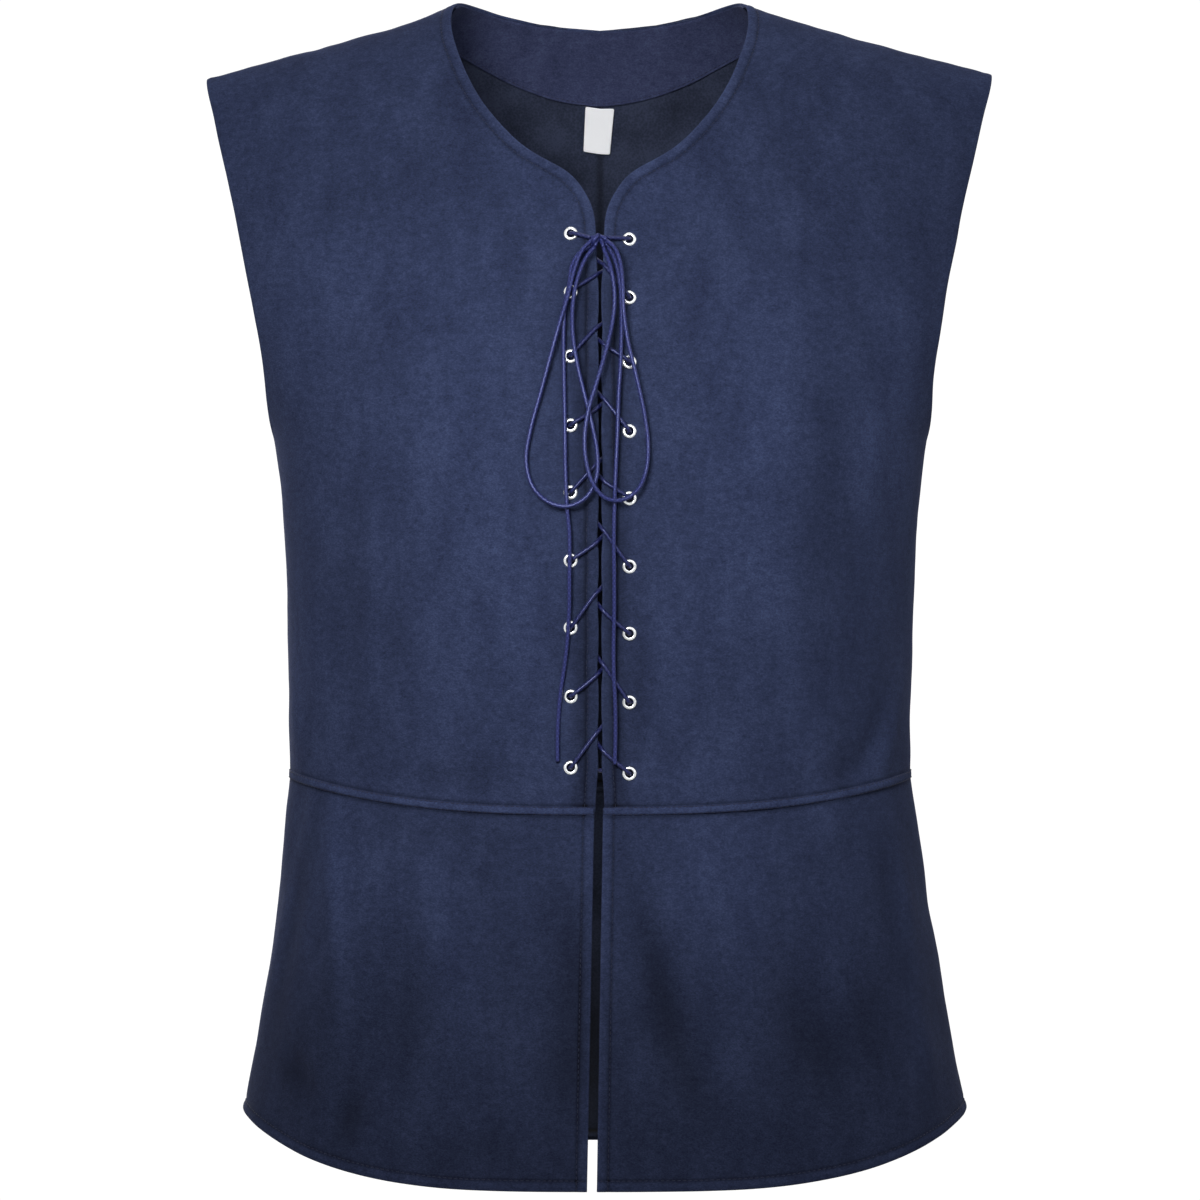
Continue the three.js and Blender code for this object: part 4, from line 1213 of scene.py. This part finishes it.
def eyelet_dents(points):
    """The cloth is pressed in under each eyelet and drawn a little towards the lace."""
    total = np.zeros(points.shape[:-1])
    for sign in (-1, 1):
        for pair in range(1, EYELETS["count"] + 1):
            x, z = eyelet_place(sign, pair)
            reach = np.hypot(points[..., 0] - x, points[..., 2] - z)
            total -= RELIEF["eyelet_dent"] * hump(reach, 4.6)
            total += RELIEF["eyelet_swell"] * hump(reach - 9, 4)
    return total


def edge_painted_light(distance):
    """Painted highlight where the turned edge catches the light, and painted shade in the dent along its
    stitches.
    """
    lit = EDGE_PAINTED_LIGHT["ridge"] * hump(distance - 2.6, 2.6) + EDGE_PAINTED_LIGHT["folded"] * hump(distance - 0.5, 0.8)
    return lit + EDGE_PAINTED_LIGHT["stitched"] * hump(distance - STITCH_IN, 1.0)


# Painted shade in the dent of a seam
def seam_painted_shade(distance):
    return SEAM_PAINTED_SHADE * hump(distance, 1.6)


def laced_tone(points):
    """The cloth along the slit is in the shade of the lace and pressed by it."""
    beside = 1 - smooth((np.abs(points[..., 0]) - LACED_SHADE["beside"]) / LACED_SHADE["fade"])
    return LACED_SHADE["tone"] * beside * smooth((LACED_SHADE["top"] - points[..., 2]) / LACED_SHADE["over"])


def band_tone(distance):
    """The cloth is in shadow where it runs in under the raised seam."""
    return UNDER_BAND_TONE * hump(distance - BAND_HEIGHT / 2 - 0.6, 0.9)


STITCH_PITCH = 3.3
STITCH_LONG = 2.7
STITCH_PROUD = 0.12
THREAD = 0.5
stitch_lines = []


def stitch_beside(edge, points, normals, from_start, by_rows):
    """Stitches along the line at their distance from an edge, found row by row or column by column."""
    distance = distance_to(points, edge)
    if not by_rows:
        points, normals, distance = points.transpose(1, 0, 2), normals.transpose(1, 0, 2), distance.T
    if not from_start:
        points, normals, distance = points[:, ::-1], normals[:, ::-1], distance[:, ::-1]
    line, out = [], []
    for row, normal, far in zip(points, normals, distance):
        past = np.argmax(far >= STITCH_IN)
        if past == 0 or far[0] > STITCH_IN:
            continue
        share = (STITCH_IN - far[past - 1]) / (far[past] - far[past - 1])
        line.append(lerp(row[past - 1], row[past], share))
        out.append(unit(lerp(normal[past - 1], normal[past], share)))
    add_stitches(np.array(line), np.array(out))


def add_stitches(line, normals):
    """Notes where each stitch of a line goes: its middle, direction and normal."""
    run = run_lengths(line)
    places = np.arange(STITCH_PITCH, run[-1] - STITCH_PITCH / 2, STITCH_PITCH)
    middles, outs = at_lengths(line, places), at_run(normals, run, places)
    ways = at_lengths(line, places + 1) - at_lengths(line, places - 1)
    stitch_lines.append((middles, ways, outs))


def cloth_shell(points, painted_tones, thick, inner_material, name, nodes, cut=None):
    """A wall of cloth: its outer face is laid over the points and its thickness goes inwards."""
    bm = grid_mesh(points, painted_tones=np.broadcast_to(painted_tones, points.shape[:2]))
    bm.normal_update()
    bm.faces.ensure_lookup_table()
    face = bm.faces[len(bm.faces) // 2]
    j, i = points.shape[0] // 2, points.shape[1] // 2
    if face.normal.dot(Vector(outward_normals(points)[j, i])) < 0:
        bmesh.ops.reverse_faces(bm, faces=bm.faces)
    piece = new_piece(name, bm, [suede, inner_material], nodes)
    solid = piece.modifiers.new("wall", "SOLIDIFY")
    solid.thickness = thick * MM
    solid.offset = -1
    solid.material_offset = 1
    rounded = piece.modifiers.new("rounded", "SUBSURF")
    rounded.levels = rounded.render_levels = 1
    if cut is not None:
        holes = piece.modifiers.new("holes", "BOOLEAN")
        holes.object = cut
        holes.operation = "DIFFERENCE"
        holes.solver = "MANIFOLD"
    keep_result(piece)
    return piece


def hole_punch(sign):
    """Nine pegs, one through each eyelet of a side, that cut the cloth's holes."""
    bm = bmesh.new()
    for pair in range(1, EYELETS["count"] + 1):
        bmesh.ops.create_cone(bm, cap_ends=True, segments=20, depth=12 * MM, radius1=EYELET_CUT * MM,
                              radius2=EYELET_CUT * MM, matrix=eyelet_matrix(sign, pair))
    mesh = bpy.data.meshes.new("punch")
    bm.to_mesh(mesh)
    bm.free()
    punch = bpy.data.objects.new("punch", mesh)
    bpy.context.scene.collection.objects.link(punch)
    return punch


def lap(edge, beside):
    """Runs an edge a little past its seam, so that no light passes between two pieces."""
    edge += SEAM_LAP * unit(edge - beside)


def hang(points):
    """Shifts the cloth as it hangs: nothing at the centre, most at the sides, one shoulder a little up."""
    x, z = points[..., 0], points[..., 2]
    share = x / half_at(z)
    moved = points.copy()
    moved[..., 0] += smooth(-share) * smooth_at(HANG, 1, z) + smooth(share) * smooth_at(HANG, 2, z)
    right = smooth((x - RIGHT_SHOULDER["across"]) / RIGHT_SHOULDER["over"])
    high = smooth((z - RIGHT_SHOULDER["height"]) / RIGHT_SHOULDER["above"])
    moved[..., 2] += RIGHT_SHOULDER["up"] * right * high
    return moved


# Where the lace draws the slit together: from its top to its bottom, how far in and how far from its edge
SLIT_DRAWN = {"top": -150, "bottom": -492, "fade": 30, "in": 1.8, "from": 2, "over": 12, "strand": 4}


def close_slit(points, sign):
    """Draws the laced edges together, except where a strand passes between them."""
    x, z = points[..., 0], points[..., 2]
    crossing = np.zeros_like(z)
    for pair, left, right in CROSSINGS:
        for side, up in ((-1, left), (1, right)):
            from_strand = z - (eyelet_place(side, pair)[1] + up)
            crossing = np.maximum(crossing, hump(from_strand, SLIT_DRAWN["strand"]))
    below_top = smooth((SLIT_DRAWN["top"] - z) / SLIT_DRAWN["fade"])
    laced = below_top * smooth((z - SLIT_DRAWN["bottom"]) / SLIT_DRAWN["fade"])
    near = 1 - smooth((np.abs(x) - SLIT_DRAWN["from"]) / SLIT_DRAWN["over"])
    moved = points.copy()
    moved[..., 0] -= sign * SLIT_DRAWN["in"] * near * laced * (1 - 0.5 * crossing)
    return moved


def side_distances(points, up):
    """Distances from the two parts of a bodice piece's outer edge: the armhole and the side seam."""
    armhole = distance_to(points, points[up[:, -1] >= ARMHOLE_SHARE, -1])
    return armhole, distance_to(points, points[up[:, -1] <= ARMHOLE_SHARE, -1])


def bodice_fade(side_seam, armhole):
    return smooth(side_seam / CREASE_FADE["seam"]) * smooth(armhole / CREASE_FADE["edge"])


def make_bodice_front(side, sign):
    surface = front_point if sign > 0 else mirrored(front_point)
    sides = {"inner": LACED, "outer": STITCHED, "bottom": WAISTED, "top": PLAIN}
    points, normals, _, up = lay_out(surface, sides)
    opening = distance_to(points, points[:, 0])
    armhole, side_seam = side_distances(points, up)
    shoulder = distance_to(points, points[-1])
    waist = distance_to(points, points[0])
    creases = soft_marks(FRONT_CREASES, points) * bodice_fade(side_seam, armhole)
    out = panel_relief(points, creases, waist)
    painted_tones = CREASE_PAINTED_SHADE * creases + soft_marks(FRONT_PAINTED_SHADING, points) + edge_painted_light(opening) + band_tone(waist)
    painted_tones += seam_painted_shade(side_seam) + seam_painted_shade(shoulder) + laced_tone(points)
    # Painted highlight along the armhole's edge
    painted_tones += ARMHOLE_PAINTED_HIGHLIGHT * hump(armhole, 1.2)
    out += turned_edge(opening, points) + plain_edge(armhole) * smooth(side_seam / 6)
    out += sewn_seam(side_seam, points) + sewn_seam(shoulder, points) + eyelet_dents(points)
    points = hang(close_slit(points + normals * out[..., None], sign))
    stitch_beside(points[:, 0], points, normals, from_start=True, by_rows=True)
    below = np.count_nonzero(up[:, -1] <= ARMHOLE_SHARE)
    lap(points[:below, -1], points[:below, -2])
    lap(points[-1], points[-2])
    lap(points[0], points[1])
    punch = hole_punch(sign)
    piece = cloth_shell(points, painted_tones, CLOTH_THICK, wrong_side, f"front_{side}",
                        [f"bodice_front_{side}"], punch)
    bpy.data.objects.remove(punch)


def make_bodice_back(side, sign):
    surface = back_point if sign > 0 else mirrored(back_point)
    sides = {"inner": PLAIN, "outer": STITCHED, "bottom": WAISTED, "top": STITCHED}
    points, normals, across, up = lay_out(surface, sides)
    centre = distance_to(points, points[:, 0])
    armhole, side_seam = side_distances(points, up)
    at_neck = across[-1] <= NECK_SHARE
    neck = distance_to(points, points[-1, at_neck])
    shoulder = distance_to(points, points[-1, across[-1] >= NECK_SHARE])
    waist = distance_to(points, points[0])
    creases = soft_marks(BACK_CREASES, points) * bodice_fade(side_seam, armhole)
    creases *= smooth(centre / CREASE_FADE["seam"])
    out = panel_relief(points, creases, waist)
    painted_tones = CREASE_PAINTED_SHADE * creases + soft_marks(BACK_PAINTED_SHADING, points) + edge_painted_light(neck) + band_tone(waist)
    painted_tones += seam_painted_shade(side_seam) + seam_painted_shade(shoulder) + CENTRE_SEAM_TIMES * seam_painted_shade(centre)
    out += turned_edge(neck, points) * smooth(shoulder / 6)
    out += plain_edge(armhole) * smooth(side_seam / 6) + sewn_seam(side_seam, points)
    out += sewn_seam(shoulder, points) + sewn_seam(centre, points) * smooth(neck / 9)
    points = hang(points + normals * out[..., None])
    stitch_beside(points[-1, at_neck], points, normals, from_start=False, by_rows=False)
    below = np.count_nonzero(up[:, -1] <= ARMHOLE_SHARE)
    inside_neck = np.count_nonzero(at_neck)
    lap(points[:below, -1], points[:below, -2])
    lap(points[-1, inside_neck:], points[-2, inside_neck:])
    lap(points[0], points[1])
    lap(points[:, 0], points[:, 1])
    piece = cloth_shell(points, painted_tones, CLOTH_THICK, wrong_side, f"back_{side}",
                        [f"bodice_back_{side}"])


def make_skirt_piece(name, surface, sides, marks, node):
    points, normals = lay_out(surface, sides)[:2]
    slit_edge = sides["inner"] is STITCHED
    waist = distance_to(points, points[0])
    hem = distance_to(points, points[-1])
    inner = distance_to(points, points[:, 0])
    seams = [distance_to(points, points[:, -1])]
    if not slit_edge:
        seams.append(inner)
    creases = soft_marks(marks[0], points) * smooth(waist / CREASE_FADE["edge"])
    for seam in seams:
        creases *= smooth(seam / CREASE_FADE["seam"])
    painted_tones = CREASE_PAINTED_SHADE * creases + soft_marks(marks[1], points) + edge_painted_light(hem) + band_tone(waist)
    painted_tones += HEM_SHADE["tone"] * smooth((HEM_SHADE["from"] - points[..., 2]) / HEM_SHADE["over"])
    painted_tones += sum(seam_painted_shade(seam) for seam in seams)
    out = panel_relief(points, creases, waist) + turned_edge(hem, points)
    if slit_edge:
        out += turned_edge(inner, points)
        painted_tones += edge_painted_light(inner)
    out += sum(sewn_seam(seam, points) for seam in seams)
    points = hang(points + normals * out[..., None])
    stitch_beside(points[-1], points, normals, from_start=False, by_rows=False)
    if slit_edge:
        stitch_beside(points[:, 0], points, normals, from_start=True, by_rows=True)
    else:
        lap(points[:, 0], points[:, 1])
    lap(points[:, -1], points[:, -2])
    lap(points[0], points[1])
    piece = cloth_shell(points, painted_tones, CLOTH_THICK, wrong_side, name, [node])


def make_skirt(bands):
    front = {"inner": STITCHED, "outer": PLAIN, "bottom": WAISTED, "top": STITCHED}
    back = {"inner": PLAIN, "outer": PLAIN, "bottom": WAISTED, "top": STITCHED}
    for side, sign in (("left", -1), ("right", 1)):
        make_skirt_piece(f"skirt_{side}", skirt_front(sign), front, (SKIRT_FRONT_CREASES, SKIRT_FRONT_PAINTED_SHADING),
                         f"skirt_front_{side}")
    make_skirt_piece("skirt_behind", skirt_back, back, (SKIRT_BACK_CREASES, SKIRT_BACK_PAINTED_SHADING),
                     "skirt_back")


# The raised seam's section, how much flatter it lies towards the side seams, and its grid
BAND = {"round": 3.2, "flatter": 0.5, "from": 170, "over": 22, "rows": 9}


def make_waist_seam():
    """The raised seam round the waist, stitched along both its edges, as a band for each of its runs."""
    bands = {}
    runs = [("left", band_front(-1), 44), ("right", band_front(1), 44), ("back", band_back, 88)]
    for side, surface, count in runs:
        across, up = np.meshgrid(np.linspace(0, 1, count + 1), np.linspace(0, 1, BAND["rows"]))
        points = surface(across, up)
        normals = outward_normals(points)
        crown = np.sqrt(np.clip(1 - np.abs(2 * up - 1) ** BAND["round"], 0, 1))
        pucker = unevenness(points, *UNEVEN["band"])
        sidewards = smooth((np.abs(points[..., 0]) - BAND["from"]) / BAND["over"])
        crown = crown * (1 - BAND["flatter"] * sidewards)
        points = hang(points + normals * (lerp(-BAND_SUNK, BAND_OUT, crown) + pucker * crown)[..., None])
        for row in (1, BAND["rows"] - 2):
            add_stitches(points[row], normals[row])
        # Painted highlight on the seam's crown and painted shade along its edges
        painted_tones = lerp(BAND_PAINTED_SHADING["edges"], BAND_PAINTED_SHADING["crown"], crown)
        bands[side] = cloth_shell(points, painted_tones, FACING_THICK, suede, f"waist_seam_{side}",
                                  [f"waist_band_{side}"])
    return bands


# The facing's lower edge, as a share up the back: at the centre, and how much higher at the neck points
FACING_LOW = {"centre": 0.846, "rise": 0.06}
# How far the facing lies inside the cloth, and how its lower edge is ridged and drawn in
FACING_CLEAR = 0.15
FACING_RIDGE = 0.35
FACING_DRAWN = {"in": 0.7, "reach": 8}


def make_facing():
    """The facing under the back neck, its pile towards the wearer, sewn down along its lower edge."""
    def surface(across, up):
        low = FACING_LOW["centre"] + FACING_LOW["rise"] * (2 * across - 1) ** 2
        return whole_back(lerp(-NECK_SHARE, NECK_SHARE, across), lerp(low, 1, up))
    sides = {"inner": PLAIN, "outer": PLAIN, "bottom": STITCHED[:6], "top": PLAIN}
    points, normals = lay_out(surface, sides)[:2]
    lower = distance_to(points, points[0])
    out = unevenness(points, *UNEVEN["facing"]) - CLOTH_THICK - FACING_CLEAR
    out += FACING_RIDGE * hump(lower - 2, 0.8)
    out -= FACING_DRAWN["in"] * (1 - smooth(lower / FACING_DRAWN["reach"]))
    points = points + normals * out[..., None]
    inside = points - normals * FACING_THICK
    line = at_row(inside, lower, 2.0)
    add_stitches(line, np.repeat(-normals[2:3, normals.shape[1] // 2], len(line), axis=0))
    piece = cloth_shell(points, 0, FACING_THICK, suede_painted_lighter, "neck_facing_cloth",
                        ["neck_facing"])


def at_row(points, distance, wanted):
    """The line across a grid at a distance from its first row."""
    columns = range(points.shape[1])
    return np.array([at_run(points[:, i], distance[:, i], np.array([wanted]))[0] for i in columns])


LABEL = {
    "width": 18, "height": 28, "thick": 0.5, "tilt": 0.08, "overlap": 1.4,
    "clear": 0.35, "curl": 1.6, "left_curl": 0.7, "right_curl": 1.2, "ripple": 0.3,
}
LABEL_ROWS = (lerp(ARMHOLE_SHARE, 1, 7 / 11), lerp(ARMHOLE_SHARE, 1, 8 / 11))


def make_label():
    """The care label: a bare tape that hangs from the facing's lower edge and curls a little."""
    low, high = back_point(np.zeros(2), np.array(LABEL_ROWS))[:, 2]
    share_per_mm = (LABEL_ROWS[1] - LABEL_ROWS[0]) / (high - low)
    across_per_mm = 0.1 / back_point(np.array(0.1), np.array(LABEL_ROWS[1]))[0]
    across, down = np.meshgrid(np.linspace(0, 1, 13), np.linspace(0, 1, 17))
    x = (across - 0.5) * LABEL["width"] - LABEL["tilt"] * LABEL["height"] * down
    below = down * LABEL["height"] - LABEL["overlap"] + LABEL["tilt"] * LABEL["width"] * (across - 0.5)
    points = whole_back(x * across_per_mm, LABEL_ROWS[1] - below * share_per_mm)
    normals = outward_normals(points)
    curl = LABEL["curl"] * down**2 * lerp(LABEL["left_curl"], LABEL["right_curl"], across)
    curl += LABEL["ripple"] * np.sin(down * 5) * across
    points = points - normals * (CLOTH_THICK + FACING_THICK + LABEL["clear"] + curl)[..., None]
    add_stitches(points[2], -normals[2])
    piece = cloth_shell(points, 0, LABEL["thick"], white_tape, "care_label_tape", ["care_label"])
    piece.data.materials[0] = white_tape


def make_stitches():
    """All topstitches as one piece: a short rounded length of thread for each."""
    bm = bmesh.new()
    half = Vector((THREAD / 2, THREAD / 2, STITCH_LONG / 2)) * MM
    for middles, ways, outs in stitch_lines:
        for middle, way, out in zip(middles, ways, outs):
            turn = Vector(way).to_track_quat("Z", "Y").to_matrix().to_4x4()
            place = Matrix.Translation((Vector(middle) + Vector(out) * STITCH_PROUD) * MM) @ turn
            shape = place @ Matrix.Diagonal((*half, 1))
            bmesh.ops.create_icosphere(bm, subdivisions=1, radius=1, matrix=shape)
    new_piece("topstitching", bm, [thread])


for side, sign in (("left", -1), ("right", 1)):
    make_bodice_front(side, sign)
    make_bodice_back(side, sign)
make_skirt(make_waist_seam())
make_facing()
make_label()
make_stitches()

# Studio
FLOOR_HEIGHT = -950
FLOOR_REACH = 1150
FLOOR_GRAIN_MM = 3
FLOOR_GLOW = 0.62


def make_floor():
    """A matt white disc that glows a little, so that it stays pale and lights nothing."""
    bm = bmesh.new()
    bmesh.ops.create_circle(bm, cap_ends=True, segments=64, radius=FLOOR_REACH * MM)
    bmesh.ops.translate(bm, verts=bm.verts, vec=(0, 0, FLOOR_HEIGHT * MM))
    mesh = bpy.data.meshes.new("floor")
    bm.to_mesh(mesh)
    bm.free()
    material, tree = new_material("matt_white_paint")
    place = add_node(tree, "ShaderNodeTexCoord").outputs["Object"]
    grain = add_node(tree, "ShaderNodeTexNoise", {"Vector": place, "Scale": per_metre(FLOOR_GRAIN_MM)})
    tint = add_node(tree, "ShaderNodeValToRGB", {"Fac": grain.outputs["Fac"]})
    set_stops(tint, [(0.3, "#F2F2F1"), (0.7, "#F5F5F4")])
    set_surface(tree, {
        "Base Color": tint.outputs["Color"], "Roughness": 0.9, "Specular IOR Level": 0.1,
        "Emission Color": tint.outputs["Color"], "Emission Strength": FLOOR_GLOW,
    })
    mesh.materials.append(material)
    floor = bpy.data.objects.new("floor", mesh)
    bpy.context.scene.collection.objects.link(floor)
    floor.visible_diffuse = False


def soft_light(name, place, aim, size, power, spread):
    data = bpy.data.lights.new(name, "AREA")
    data.spread = math.radians(spread)
    data.shape = "DISK"
    data.size = size
    data.energy = power
    light = bpy.data.objects.new(name, data)
    light.location = place
    light.rotation_euler = (Vector(aim) - Vector(place)).to_track_quat("-Z", "Y").to_euler()
    bpy.context.scene.collection.objects.link(light)


# Soft boxes: place and aim in metres, breadth, power and spread
SOFT_BOXES = [
    ("key", (-0.3, -1.35, 0.08), (0.0, -0.11, -0.29), 0.55, 2.6, 70),
    ("fill", (0.9, -1.9, 0.5), (0, -0.1, -0.2), 1.4, 9, 180),
    ("left_side", (-2.2, 0.2, 0.2), (0, 0, -0.3), 1.4, 4, 180),
    ("right_side", (2.2, 0.2, 0.2), (0, 0, -0.3), 1.4, 5, 180),
    ("behind", (-0.4, 1.9, 0.2), (0, 0, -0.3), 1.2, 26, 180),
    ("above", (0, 0.1, 1.9), (0, 0, -0.3), 1.4, 8, 180),
    ("off_the_floor", (0, -0.03, -0.93), (0, 0.11, -0.6), 0.2, 0.08, 50),
]


def make_light():
    world = bpy.data.worlds.new("white_studio")
    world.use_nodes = True
    background = world.node_tree.nodes["Background"]
    background.inputs["Color"].default_value = (1, 1, 1, 1)
    background.inputs["Strength"].default_value = 1.05
    world.cycles_visibility.diffuse = False
    bpy.context.scene.world = world
    bpy.context.scene.view_settings.view_transform = "Standard"
    for box in SOFT_BOXES:
        soft_light(*box)


make_floor()
make_light()
